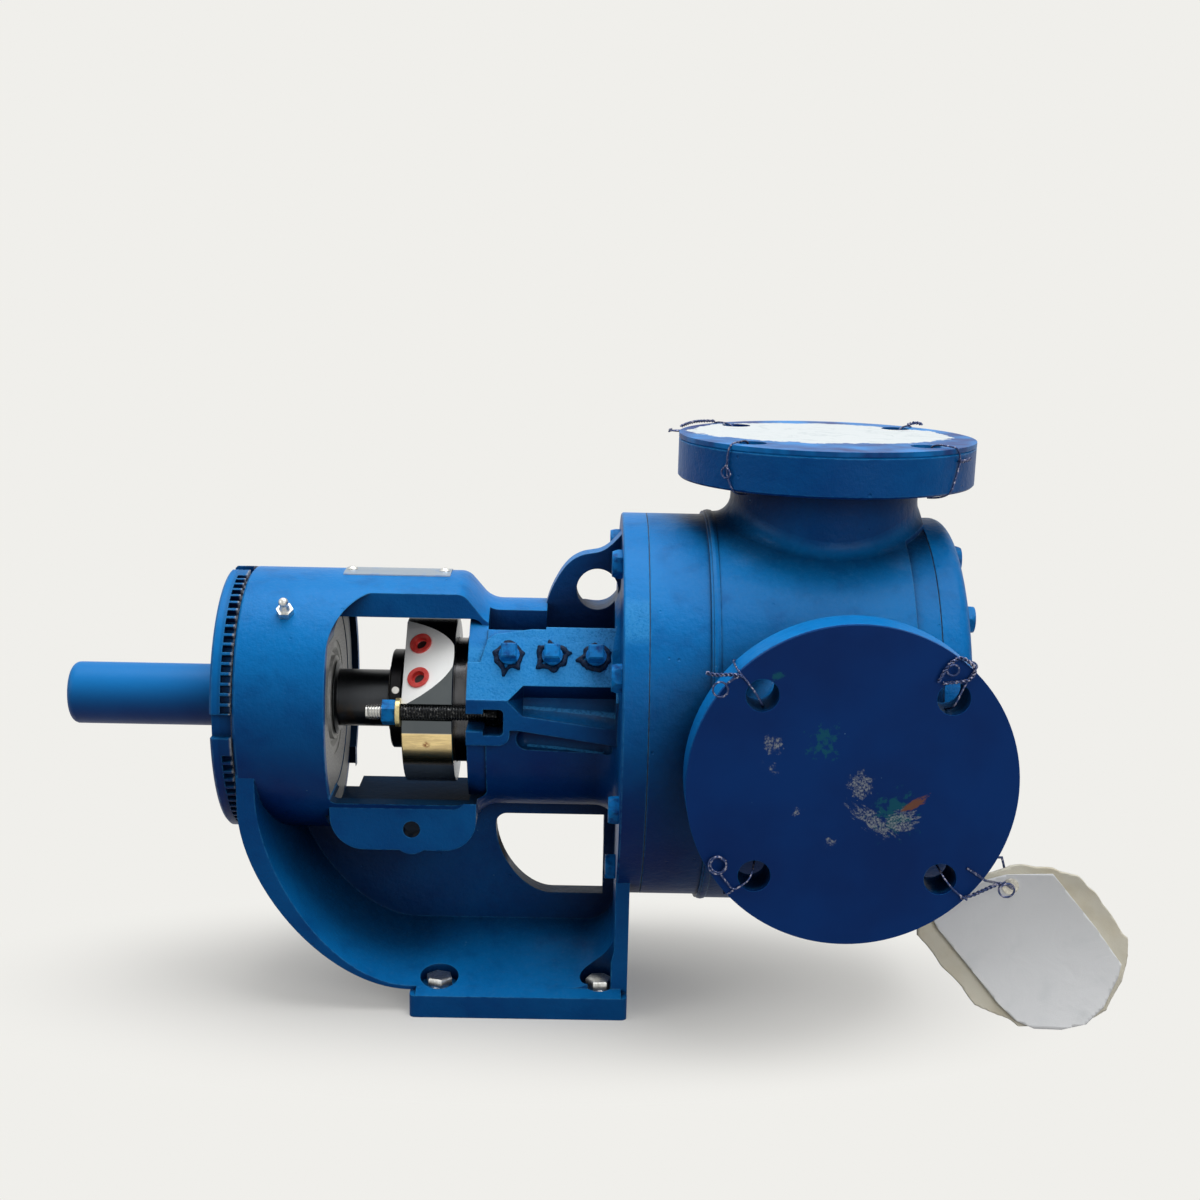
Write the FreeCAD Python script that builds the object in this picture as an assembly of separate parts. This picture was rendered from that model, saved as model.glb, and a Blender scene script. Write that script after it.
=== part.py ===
import FreeCAD, Part
import math
import os
from FreeCAD import Vector

# Internal gear pump. Everything is modelled about the shaft axis (x along the shaft, z up, y away from
# the viewer, x = 0 at the bracket and casing joint) and moved to the foot frame when it is written.

# Clearances
running = 0.05
film = 0.1
side_gap = 0.15
mesh_clearance = 0.3
gasket_thickness = 0.5
full_turn = 360.0

# Foot
axis_height = 190.5
foot_length = 141.3
foot_half_width = 88.9
foot_edge_thickness = 15.0
foot_corner = 4.0
foot_joint_gap = 7.35
foot_bolt_inset_x = 18.2625
foot_bolt_inset_y = 19.05
foot_hole_radius = 6.75
foot_spot_radius = 12.5
foot_right_x = -foot_joint_gap
foot_left_x = foot_right_x - foot_length
foot_centre_x = (foot_left_x + foot_right_x) / 2
foot_top_z = foot_edge_thickness - axis_height

# Radii from the shaft outward
drive_radius = 20.6375
seal_journal_step = 0.7625
seat_step = 1.1
journal_step = 1.3125
relief_step = 1.5875
sleeve_wall = 3.1875
bushing_wall = 8.1375
seal_room = 15.0
gland_wall = 13.0
strap_clearance = 8.0
collar_wall = 7.5
roller_path_height = 10.3
cup_height = 9.7
barrel_wall = 17.45
end_wall = 26.5
shoulder_drop = 17.5
seal_journal_radius = drive_radius + seal_journal_step
seat_radius = seal_journal_radius + seat_step
journal_radius = seat_radius + journal_step
relief_radius = drive_radius - relief_step
sleeve_radius = journal_radius + sleeve_wall
bushing_radius = journal_radius + running + bushing_wall
hub_bore_radius = sleeve_radius + 6.0
seal_bore = sleeve_radius + seal_room
gland_radius = seal_bore + gland_wall
strap_under_z = gland_radius + strap_clearance
collar_radius = seat_radius + collar_wall
roller_path = seat_radius + roller_path_height
cup_radius = roller_path + cup_height
barrel_radius = cup_radius + barrel_wall
housing_bore_radius = barrel_radius + running
end_radius = housing_bore_radius + end_wall
hub_radius = end_radius - shoulder_drop

# Lengths along the shaft, from the joint toward the drive end
flange_thickness = 15.8
hub_length = 113.0
adapter_length = 10.0
gland_length = 33.0
window_length = 92.0
inner_lip_depth = 9.0
bearing_width = 20.75
bearing_gap = 4.0
ring_seat = 2.0
ring_gap = 1.0
ring_thickness = 13.0
cap_proud = 5.5
drive_shoulder_gap = 2.0
drive_length = 101.0
flange_back_x = -gasket_thickness - flange_thickness
hub_face_x = -hub_length
gland_right_x = hub_face_x - adapter_length
gland_left_x = gland_right_x - gland_length
wall_x = hub_face_x - window_length
bearing_end_x = wall_x - inner_lip_depth
bearing_start_x = bearing_end_x - 2 * bearing_width - bearing_gap
end_x = bearing_start_x + ring_seat
ring_right_x = end_x - ring_gap
ring_left_x = ring_right_x - ring_thickness
cap_face_x = ring_left_x - cap_proud
drive_shoulder_x = cap_face_x - drive_shoulder_gap
shaft_end_x = drive_shoulder_x - drive_length

# Gears, casing and head, from the joint toward the head
spigot_length = 66.0
rotor_disc_thickness = 21.85
gear_length = 83.85
head_spigot_depth = 4.0
head_thickness = 18.5
port_setback = 61.5
chamber_radius = 92.0
casing_wall = 35.0
body_proud = 2.2
head_proud = 0.5
rotor_disc_x = spigot_length + side_gap
rotor_face_x = rotor_disc_x + rotor_disc_thickness
idler_start_x = rotor_face_x + side_gap
gear_end_x = rotor_face_x + gear_length
head_inner_x = gear_end_x + side_gap
casing_length = head_inner_x + head_spigot_depth
head_seat_x = casing_length + gasket_thickness
head_face_x = head_seat_x + head_thickness
port_x = casing_length - port_setback
land_radius = chamber_radius + casing_wall
body_radius = land_radius + body_proud
head_radius = land_radius + head_proud
spigot_radius = chamber_radius - film
rotor_radius = chamber_radius - film

# Ports
port_reach = 48.8
port_flange_radius = 95.25
port_flange_thickness = 25.0
port_flange_chamfer = 1.2
port_bolt_inset = 19.05
port_hole_radius = 9.525
port_bore_radius = 38.1
port_neck_wall = 22.4
port_root = 60.0
neck_fillet = 12.0
cover_thickness = 3.0
port_face = body_radius + port_reach
port_neck_radius = port_bore_radius + port_neck_wall

# Casing lands
left_land_length = 37.0
right_land_length = 15.0
left_land_clearance = 15.5
right_land_clearance = 5.5
ridge_gap = 1.5
ridge_width = 5.0
ridge_height = 1.0

# Joint bolts
bolt_circle_inset = 17.0
bolt_radius = 5.5
bolt_across_flats = 15.9
bolt_head_height = 6.6
bracket_bolt_length = 30.0
head_bolt_length = 32.0
casing_hole_depth = 18.0
head_spot_depth = 1.5
head_spot_radius = 10.2
flange_bolt_count = 8
flange_bolt_start = 22.5
head_bolt_count = 12
head_bolt_start = 15.0
bolt_circle_radius = land_radius - bolt_circle_inset

# Bracket
leg_half_width = 80.0
web_half_width = 7.0
curved_plate_thickness = 11.5
curved_plate_root = 10.0
leg_bend = 54.0
pocket_top_z = -44.0
ramp_web_height = 37.0
ramp_rim_height = 18.1
trough_rim_drop = 34.5
trough_floor_drop = 2.5
trough_inset = 20.5
trough_wall = 8.0
trough_end_inset = 4.0
trough_past_face = 6.0
trough_bump_radius = 12.5
trough_bump_rise = 9.8
drain_radius = 5.5
drain_rise = 14.2
drain_from_wall = 56.5
strap_half_width = 36.0
window_lip = 4.5
window_past_face = 12.0
window_middle_past_face = 9.0
window_top_drop = 6.9
window_near_corner = 32.0
window_hub_corner = 18.0
wall_disc_radius = 80.0
web_window_width = 73.5
web_window_gap = 7.2
web_window_drop = 8.5
web_window_sill = 56.0
crown_radius = 10.0
crown_past_face = 8.5
shoulder_root_radius = 16.0
shoulder_slope = 48.0
flange_fillet = 14.0
edge_break = 1.0
trough_top_z = trough_rim_drop - end_radius
trough_bottom_z = trough_floor_drop - end_radius
trough_half_width = end_radius - trough_inset

# Hub pad, the groove below it and the valley above it
pad_tilt = 38.0
pad_proud = 3.0
pad_low = -31.6
pad_edge = -20.7
pad_top = ((0.0, -4.9), (8.0, -4.9), (12.0, 11.0), (17.0, 15.0), (53.0, 21.0))
pad_high = 22.0
pad_end_gap = 1.2
plug_steps = (26.1, 53.4, 81.1)
plug_stem_radius = 6.6
plug_stem_depth = 14.0
plug_head_half = 5.0
plug_head_top = 9.5
boss_proud = 7.5
boss_half_height = 14.75
boss_length = 27.5
groove_slope = 53.6
groove_depth = 11.8
groove_sag = 5.4
rib_top_left = 10.2
rib_top_right = 2.0
rib_under_left = 0.5
rib_under_right = -8.8
hollow_left_radius = 8.0
hollow_right_radius = 5.5
valley_side = 20.0
valley_floor = 52.0
valley_rim = 58.5
lug_valley_floor = 50.0
lug_valley_rim = 60.0
pad_distance = hub_radius + pad_proud
boss_face_y = -hub_radius - boss_proud

# Lifting lug, placed from the flange and the hub
eye_radius = 13.6
eye_from_flange = 15.2
eye_above_hub = 9.5
lug_thickness = 16.0
lug_outline = ((-49.7, -9.0), (-47.7, 2.0), (-41.2, 17.0), (-33.7, 27.0), (-23.7, 32.5), (-13.7, 34.5),
               (-4.7, 41.0), (4.3, 52.0))
eye_x = flange_back_x - eye_from_flange
eye_z = hub_radius + eye_above_hub

# Grease fitting and nameplate
grease_angle = 51.8
grease_from_end = 29.5
grease_stem_radius = 3.2
grease_stem_depth = 9.0
grease_nut_across = 9.5
grease_x = end_x + grease_from_end
plate_half_width = 12.5
plate_thickness = 0.8
plate_from_wall = 8.0
plate_from_hub = 14.5
rivet_inset = 4.5
rivet_radius = 1.7
plate_left_x = wall_x + plate_from_wall
plate_right_x = hub_face_x - plate_from_hub
rivet_places = (plate_left_x + rivet_inset, plate_right_x - rivet_inset)

# Gear pair
rotor_teeth = 11
idler_teeth = 8
tooth_depth = 21.9
centre_offset = 21.0
mesh_angle = 135.0
tooth_tip_half = 4.6
tooth_root_half = 11.0
tooth_nose = 3.0
pin_radius = 14.0
idler_bushing_wall = 5.0
sweep_step = 0.6
sweep_reach = 180
gap_samples = 22
search_margin = 13.0
crescent_half_angle = 57
rotor_tip_radius = rotor_radius - tooth_depth
idler_tip_radius = rotor_radius - centre_offset - mesh_clearance
idler_bore_radius = pin_radius + idler_bushing_wall
idler_search_start = rotor_tip_radius - centre_offset - search_margin

# Shaft steps
keyway_width = 9.525
keyway_depth = 4.7625
keyway_length = 66.0
keyway_start = 12.0
shaft_end_round = 5.0
centre_hole_radius = 2.5
centre_hole_depth = 8.0
seat_before_bearing = 10.5
half_ring_width = 3.0
sleeve_before_collar = 0.5
relief_before_sleeve = 1.5
shaft_tip_gap = 0.4
shaft_chamfer = 1.0
seat_start_x = bearing_start_x - seat_before_bearing
seat_end_x = wall_x - half_ring_width
shaft_tip_x = rotor_face_x - shaft_tip_gap

# Thrust bearings and their housing
roller_count = 14
roller_small = 4.2
roller_big = 4.8
roller_length = 15.0
roller_tilt = 9.0
cage_inner = 0.2
cage_outer = 1.4
cage_reach = 2.0
cage_play = 0.12
notch_from_face = 6.9
notch_count = 84
notch_half_width = 2.3
notch_depth = 4.2
lug_arc_start = 350.5
lug_arc_width = 15.5
carrier_slot_count = 4
carrier_slot_half_width = 7.6
carrier_slot_depth = 7.5
face_groove_depth = 3.0
face_groove_from_cap = 8.0
face_groove_from_rim = 10.5
face_groove_draft = 2.0
set_screw_radius = 2.6
set_screw_end = 9.0
cap_wall = 5.5
cap_bore_gap = 6.5
cap_slot_depth = 8.0
cap_slot_half_width = 4.0
lip_wall = 1.0
inner_lip_wall = 8.0
notch_left_x = ring_left_x + notch_from_face
cap_radius = cup_radius + cap_wall
cap_inner_x = cap_face_x + cap_bore_gap
lip_radius = collar_radius + lip_wall
inner_lip_radius = collar_radius + inner_lip_wall
face_groove_inner = cap_radius + face_groove_from_cap
face_groove_outer = end_radius - face_groove_from_rim
set_screw_circle = (face_groove_inner + face_groove_outer) / 2

# Locknut and washer
locknut_right_x = bearing_start_x - 1.7
locknut_thickness = 7.3
locknut_height = 8.5
lockwasher_height = 6.5
spacer_height = 4.0
inner_spacer_height = 3.0

# Cartridge seal, measured from the gland's outer face
gland_flat_angle = 46.0
gland_flat_deep = 11.0
gland_flat_shallow = 0.4
gland_bolt_z = 5.25
gland_bolt_radius = 4.7
gland_bolt_play = 0.7
gland_bolt_past = 22.0
gland_bolt_into_hub = 12.5
gland_head_length = 7.3
gland_head_across = 14.0
gland_nut_across = 14.3
gland_nut_height = 8.7
gland_washer_radius = 9.2
gland_washer_thickness = 2.9
gland_floor = 7.0
plug_from_face = 10.3
plug_spread = 13.0
plug_radius = 7.3
plug_hollow_radius = 4.4
plug_seat = 4.0
plug_proud = 1.2
plug_floor = 2.0
drive_collar_gap = 2.0
drive_collar_length = 8.0
drive_collar_height = 6.0
collar_screw_radius = 2.5
face_contact = 15.5
turning_face_end = 25.0
bellows_steps = 6
bellows_pitch = 2.0
bellows_high = 10.5
bellows_low = 3.0
bellows_wall = 1.4
holder_length = 7.0
sleeve_into_hub = 27.0
bushing_into_hub = 34.0
gland_bolt_y = -gland_radius
collar_right_x = gland_left_x - drive_collar_gap
collar_left_x = collar_right_x - drive_collar_length
sleeve_left_x = collar_left_x - sleeve_before_collar
relief_end_x = sleeve_left_x - relief_before_sleeve
bushing_start_x = hub_face_x + bushing_into_hub

# Hang tag on its wire, behind the side port flange
tag_reach = 104.5
eyelet_z = -70.6
tag_gap = 6.4
card_thickness = 0.8
pouch_thickness = 2.4
eyelet_radius = 3.0
eyelet_flange_radius = 5.0
eyelet_flange = 0.6
wire_radius = 0.8
eyelet_gap = 0.3
card_outline = ((-51, -7.4, 4), (-13, 9.6, 4), (24, 9.1, 4), (62, -65.4, 5), (60.5, -83.4, 8), (39, -95.4,
                8), (21, -93.9, 5), (-6, -81.4, 6))
pouch_outline = ((-55, -26.4), (-41, -39.4), (-23, -45.4), (-10, -64.4), (7, -85.4), (36, -92.4), (62,
                 -83.9), (77, -64.4), (75, -43.4), (60, -21.4), (37, 6.6), (17, 12.6), (-14, 10.6), (-39,
                 -1.4))
tag_wire_angle = -34.0
eyelet_x = port_x + tag_reach
card_front_y = port_flange_thickness - port_face + tag_gap

os.makedirs("parts", exist_ok=True)


def shape_list(shape):
    return shape if isinstance(shape, list) else [shape]


def write_part(name, shape):
    pieces = [s for item in shape_list(shape) for s in (item.Solids if item.Solids else [item])]
    out = pieces[0] if len(pieces) == 1 else Part.makeCompound(pieces)
    out = out.copy()
    out.translate(Vector(-foot_centre_x, 0, axis_height))
    out.exportStep("parts/" + name + ".step")


def rod_x(radius, x0, x1, y=0.0, z=0.0):
    return Part.makeCylinder(radius, x1 - x0, Vector(x0, y, z), Vector(1, 0, 0))


def rod_y(radius, y0, y1, x=0.0, z=0.0):
    return Part.makeCylinder(radius, y1 - y0, Vector(x, y0, z), Vector(0, 1, 0))


def rod_z(radius, z0, z1, x=0.0, y=0.0):
    return Part.makeCylinder(radius, z1 - z0, Vector(x, y, z0), Vector(0, 0, 1))


def tube_x(inner, outer, x0, x1):
    return rod_x(outer, x0, x1).cut(rod_x(inner, x0 - 1, x1 + 1))


def block(x0, x1, y0, y1, z0, z1):
    return Part.makeBox(x1 - x0, y1 - y0, z1 - z0, Vector(x0, y0, z0))


def turned(points):
    """Solid of revolution about the shaft axis from (x, radius) corners."""
    corners = [Vector(x, 0, r) for x, r in points]
    wire = Part.makePolygon(corners + [corners[0]])
    return Part.Face(wire).revolve(Vector(0, 0, 0), Vector(1, 0, 0), full_turn)


def turned_wire(edges):
    return Part.Face(Part.Wire(edges)).revolve(Vector(0, 0, 0), Vector(1, 0, 0), full_turn)


def rounded_wire(points, y):
    """Closed outline in the x-z plane; each corner is (x, z, radius)."""
    count = len(points)
    edges = []
    starts = []
    ends = []
    for i in range(count):
        x, z, radius = points[i]
        here = Vector(x, y, z)
        before = Vector(points[i - 1][0], y, points[i - 1][1])
        after = Vector(points[(i + 1) % count][0], y, points[(i + 1) % count][1])
        if radius <= 0:
            starts.append(here)
            ends.append(here)
            edges.append(None)
            continue
        to_before = (before - here).normalize()
        to_after = (after - here).normalize()
        half = to_before.getAngle(to_after) / 2
        reach = radius / math.tan(half)
        middle_dir = (to_before + to_after).normalize()
        centre = here + middle_dir * (radius / math.sin(half))
        first = here + to_before * reach
        last = here + to_after * reach
        starts.append(first)
        ends.append(last)
        edges.append(Part.Arc(first, centre - middle_dir * radius, last).toShape())
    wires = []
    for i in range(count):
        if edges[i]:
            wires.append(edges[i])
        nxt = starts[(i + 1) % count]
        if ends[i].distanceToPoint(nxt) > 1e-6:
            wires.append(Part.makeLine(ends[i], nxt))
    return Part.Wire(wires)


def prism_y(points, y0, y1):
    return Part.Face(rounded_wire(points, y0)).extrude(Vector(0, y1 - y0, 0))


def prism_x(points, x0, x1):
    """Straight-sided bar along x from (y, z) corners."""
    corners = [Vector(x0, y, z) for y, z in points]
    return Part.Face(Part.makePolygon(corners + [corners[0]])).extrude(Vector(x1 - x0, 0, 0))


def spun(shape, angle):
    out = shape.copy()
    out.rotate(Vector(0, 0, 0), Vector(1, 0, 0), angle)
    return out


def polar(radius, angle):
    """Point (y, z) at an angle measured from the viewer's side, rising upward."""
    a = math.radians(angle)
    return -radius * math.cos(a), radius * math.sin(a)


def ring_of(shape, count, start=0.0):
    """Copies of a shape that was made on the viewer's side, spread round the shaft axis."""
    return [spun(shape, -(start + full_turn * i / count)) for i in range(count)]


def hexagon_x(across, x0, x1, y=0.0, z=0.0, turn=0.0):
    corner = across / math.sqrt(3)
    points = []
    for i in range(6):
        a = math.radians(60 * i + turn)
        points.append((y + corner * math.cos(a), z + corner * math.sin(a)))
    return prism_x(points, x0, x1)


def hex_bolt(length, x_seat, toward):
    """Hex bolt on the viewer's side; the head lies on the side that 'toward' points to."""
    y, z = polar(bolt_circle_radius, 0)
    across = bolt_across_flats
    outer = x_seat + toward * bolt_head_height
    head = hexagon_x(across, min(x_seat, outer), max(x_seat, outer), y, z, 30)
    crown = Part.makeCone(across * 0.5, across * 0.78, bolt_head_height * 1.9,
                          Vector(outer + toward * 0.01, y, z), Vector(-toward, 0, 0))
    head = head.common(crown)
    far = x_seat - toward * length
    shank = rod_x(bolt_radius, min(x_seat, far), max(x_seat, far), y, z)
    return head.fuse(shank)


# Bracket

def leg_curve(x_left, x_right, z_top, z_bottom, handle, y):
    poles = [Vector(x_left, y, z_top), Vector(x_left, y, z_top - handle),
             Vector(x_right - handle, y, z_bottom), Vector(x_right, y, z_bottom)]
    curve = Part.BezierCurve()
    curve.setPoles(poles)
    return curve.toShape()


def leg_block():
    curve = leg_curve(end_x, foot_left_x, trough_top_z, foot_top_z + 0.5, leg_bend, -leg_half_width)
    a = Vector(end_x, -leg_half_width, 0)
    b = curve.Vertexes[0].Point
    c = curve.Vertexes[-1].Point
    d = Vector(foot_left_x, -leg_half_width, -axis_height)
    e = Vector(foot_right_x, -leg_half_width, -axis_height)
    f = Vector(foot_right_x, -leg_half_width, 0)
    edges = [Part.makeLine(a, b), curve, Part.makeLine(c, d), Part.makeLine(d, e),
             Part.makeLine(e, f), Part.makeLine(f, a)]
    return Part.Face(Part.Wire(edges)).extrude(Vector(0, 2 * leg_half_width, 0))


def pocket_wire(x_left, z_bottom, handle, corner, y):
    curve = leg_curve(x_left, foot_left_x, pocket_top_z, z_bottom, handle, y)
    right = flange_back_x
    b = curve.Vertexes[0].Point
    c = curve.Vertexes[-1].Point
    d = Vector(right - corner, y, z_bottom)
    e = Vector(right, y, z_bottom + corner)
    bend = Vector(right - corner * (1 - math.sqrt(0.5)), y, z_bottom + corner * (1 - math.sqrt(0.5)))
    arc = Part.Arc(d, bend, e).toShape()
    f = Vector(right, y, 0)
    a = Vector(x_left, y, 0)
    edges = [Part.makeLine(a, b), curve, Part.makeLine(c, d), arc, Part.makeLine(e, f), Part.makeLine(f, a)]
    return Part.Wire(edges)


def side_pocket(side):
    """Tapered scoop that leaves the curved plate, the foot ramp and the central web."""
    rim_x = end_x + curved_plate_thickness
    rim_z = ramp_rim_height - axis_height - 0.1
    outer = pocket_wire(rim_x, rim_z, 52, 30, side * (leg_half_width + 0.5))
    inner = pocket_wire(rim_x + curved_plate_root, ramp_web_height - axis_height, 46, 18, side * web_half_width)
    return Part.makeLoft([outer, inner], True, True)


def ramp_edge(side):
    """Wedge that carries the ramp on from the leg down to the foot's edge."""
    rim_z = ramp_rim_height - axis_height
    inside = leg_half_width - 1
    points = [(side * inside, foot_top_z - 1), (side * inside, rim_z), (side * leg_half_width, rim_z),
              (side * foot_half_width, foot_top_z), (side * foot_half_width, foot_top_z - 1)]
    return prism_x(points, foot_left_x + foot_corner, foot_right_x - foot_corner)


def foot_slab():
    slab = block(foot_left_x, foot_right_x, -foot_half_width, foot_half_width, -axis_height, foot_top_z)
    edges = [e for e in slab.Edges if abs(e.Vertexes[0].Z - e.Vertexes[-1].Z) > 1]
    return slab.makeFillet(foot_corner, edges)


def web_window():
    top = -hub_radius - web_window_drop
    low = web_window_sill - axis_height
    right = flange_back_x - web_window_gap
    left = right - web_window_width
    depth = -3 * web_half_width
    knee = Vector(left, depth, top - 7.5)
    shoulder = Vector(left + 7.5, depth, top)
    curve = Part.BezierCurve()
    curve.setPoles([Vector(left + 39, depth, low), Vector(left + 20, depth, low),
                    Vector(left, depth, (low + knee.z) / 2), knee])
    corner = Part.Arc(knee, Vector(left + 2.2, depth, top - 2.2), shoulder).toShape()
    edges = [curve.toShape(), corner, Part.makeLine(shoulder, Vector(right, depth, top)),
             Part.makeLine(Vector(right, depth, top), Vector(right, depth, low)),
             Part.makeLine(Vector(right, depth, low), Vector(left + 39, depth, low))]
    return Part.Face(Part.Wire(edges)).extrude(Vector(0, -2 * depth, 0))


def shoulder_edges():
    """The S-shaped step from the bearing end down to the hub: a crown, a slope and a root."""
    lean = math.radians(shoulder_slope)
    start = Vector(hub_face_x - crown_past_face, 0, end_radius)
    crown_rise = crown_radius * (1 - math.cos(lean))
    root_rise = shoulder_root_radius * (1 - math.cos(lean))
    run = (shoulder_drop - crown_rise - root_rise) / math.sin(lean)
    crown_end = start + Vector(crown_radius * math.sin(lean), 0, -crown_rise)
    crown_mid = start + Vector(crown_radius * math.sin(lean / 2), 0, -crown_radius * (1 - math.cos(lean / 2)))
    slope_end = crown_end + Vector(run * math.cos(lean), 0, -run * math.sin(lean))
    root_end = slope_end + Vector(shoulder_root_radius * math.sin(lean), 0, -root_rise)
    root_mid = root_end + Vector(-shoulder_root_radius * math.sin(lean / 2), 0,
                                 shoulder_root_radius * (1 - math.cos(lean / 2)))
    edges = [Part.Arc(start, crown_mid, crown_end).toShape(), Part.makeLine(crown_end, slope_end),
             Part.Arc(slope_end, root_mid, root_end).toShape()]
    return start, root_end, edges


def shoulder_body():
    """Bearing end, window zone and hub as one turned body with a rounded shoulder."""
    start, finish, shoulder = shoulder_edges()
    s = math.sqrt(0.5)
    a = Vector(end_x, 0, 0)
    b = Vector(end_x, 0, end_radius - 1.5)
    b2 = Vector(end_x + 1.5, 0, end_radius)
    f = Vector(flange_back_x - flange_fillet, 0, hub_radius)
    g = Vector(flange_back_x, 0, hub_radius + flange_fillet)
    g_mid = f + Vector(flange_fillet * s, 0, flange_fillet * (1 - s))
    h = Vector(flange_back_x, 0, land_radius - edge_break)
    i = Vector(flange_back_x + edge_break, 0, land_radius)
    j = Vector(-gasket_thickness, 0, land_radius)
    k = Vector(-gasket_thickness, 0, spigot_radius)
    m = Vector(spigot_length - edge_break, 0, spigot_radius)
    n = Vector(spigot_length, 0, spigot_radius - edge_break)
    p = Vector(spigot_length, 0, 0)
    edges = [Part.makeLine(a, b), Part.makeLine(b, b2), Part.makeLine(b2, start)] + shoulder
    edges += [Part.makeLine(finish, f), Part.Arc(f, g_mid, g).toShape(), Part.makeLine(g, h), Part.makeLine(h, i),
              Part.makeLine(i, j), Part.makeLine(j, k), Part.makeLine(k, m), Part.makeLine(m, n),
              Part.makeLine(n, p), Part.makeLine(p, a)]
    return turned_wire(edges)


def pad_point(along):
    """Point (y, z) on the pad's face at a distance up its slope."""
    a = math.radians(pad_tilt)
    return -pad_distance * math.cos(a) + along * math.sin(a), pad_distance * math.sin(a) + along * math.cos(a)


def hub_pad():
    """Sloping machined pad that carries the three plugs; made flat, then tilted about the shaft axis."""
    right = flange_back_x - pad_end_gap
    outline = [(hub_face_x, pad_low), (right, pad_low), (right, pad_high)]
    outline += [(hub_face_x + x, t) for x, t in reversed(pad_top)]
    corners = [Vector(x, -pad_distance + 32, t) for x, t in outline]
    plate = Part.Face(Part.makePolygon(corners + [corners[0]])).extrude(Vector(0, -32, 0))
    return spun(plate, -pad_tilt)


def slot_boss():
    top = gland_bolt_z + boss_half_height
    low = gland_bolt_z - boss_half_height
    right = hub_face_x + boss_length
    return prism_y([(hub_face_x, top, 0), (right, top, 0), (right, low, 7), (hub_face_x, low, 0)],
                   boss_face_y, boss_face_y + 36)


def pad_rib():
    """Rib along the hub below the pad, level with the slot boss; its top is cut by the groove."""
    left = hub_face_x + boss_length - 4.5
    right = flange_back_x
    top = gland_bolt_z + boss_half_height - 1
    return prism_y([(left, top, 0), (right, top, 0), (right, rib_under_right, 0), (left + 10, rib_under_left, 0),
                    (left, rib_under_left, 0)], boss_face_y, boss_face_y + 16.5)


def groove_section(x, rib_top):
    """Groove outline at x: a drafted side below the pad's edge, then a hollow curve out to the rib."""
    edge_y, edge_z = pad_point(pad_edge)
    a = math.radians(groove_slope)
    lip = Vector(x, edge_y, edge_z)
    deep = lip + Vector(0, groove_depth * math.cos(a), -groove_depth * math.sin(a))
    out = Vector(x, boss_face_y, rib_top)
    sag = deep + (out - deep) * 0.34 - Vector(0, 0, groove_sag)
    clear = Vector(0, -18, 0)
    return Part.Wire([Part.makeLine(lip, deep), Part.Arc(deep, sag, out).toShape(), Part.makeLine(out, out + clear),
                      Part.makeLine(out + clear, lip + clear), Part.makeLine(lip + clear, lip)])


def pad_groove():
    pinch_y, pinch_z = pad_point(pad_low)
    middle = groove_section(hub_face_x + 35.5, rib_top_left)
    end = groove_section(flange_back_x - 2.7, rib_top_right)
    pinch = Part.Vertex(Vector(hub_face_x + 26, pinch_y, pinch_z))
    return [Part.makeLoft([pinch, middle], True, True), Part.makeLoft([middle, end], True, True)]


def hub_hollow():
    """Long dark hollow under the rib, round at both ends."""
    left = Vector(hub_face_x + 39, -hub_radius - 2, -7.2)
    right = Vector(flange_back_x - 9.7, -hub_radius - 2, -12)
    reach = right - left
    bar = Part.makeCone(hollow_left_radius, hollow_right_radius, reach.Length, left, reach)
    return bar.fuse([Part.makeSphere(hollow_left_radius, left), Part.makeSphere(hollow_right_radius, right)])


def hub_valley():
    """Step between the ridge on top of the hub and the pad; it comes closer where the lug stands."""
    left = hub_face_x + 12
    bend = flange_back_x + lug_outline[1][0]
    right = flange_back_x - 3.7
    rim_y = pad_point(pad_high)[0]
    top = hub_radius + 11
    plain = prism_x([(-valley_side, top), (-valley_side, valley_floor), (rim_y - 1.5, valley_rim), (rim_y - 18, top)],
                    left, bend)
    close = prism_x([(-lug_thickness / 2, top), (-lug_thickness / 2, lug_valley_floor), (rim_y - 0.5, lug_valley_rim),
                     (rim_y - 18, top)], bend, right)
    return [plain, close]


def bolt_slot():
    y0 = boss_face_y - 4
    narrow = block(hub_face_x - 1, hub_face_x + 12, y0, gland_bolt_y + 8, gland_bolt_z - 5.75, gland_bolt_z + 5.75)
    left = hub_face_x + 10.7
    right = left + 12.8
    wide = prism_y([(left, gland_bolt_z + 8.75, 0), (right, gland_bolt_z + 8.75, 3), (right, gland_bolt_z - 8.25, 3),
                    (left, gland_bolt_z - 8.25, 0)], y0, gland_bolt_y + 9)
    return narrow.fuse(wide)


def lifting_lug():
    points = [Vector(flange_back_x + x, -lug_thickness / 2, hub_radius + z) for x, z in lug_outline]
    curve = Part.BSplineCurve()
    curve.interpolate(points)
    low_right = Vector(points[-1].x, points[-1].y, points[0].z)
    edges = [curve.toShape(), Part.makeLine(points[-1], low_right), Part.makeLine(low_right, points[0])]
    return Part.Face(Part.Wire(edges)).extrude(Vector(0, lug_thickness, 0))


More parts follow.
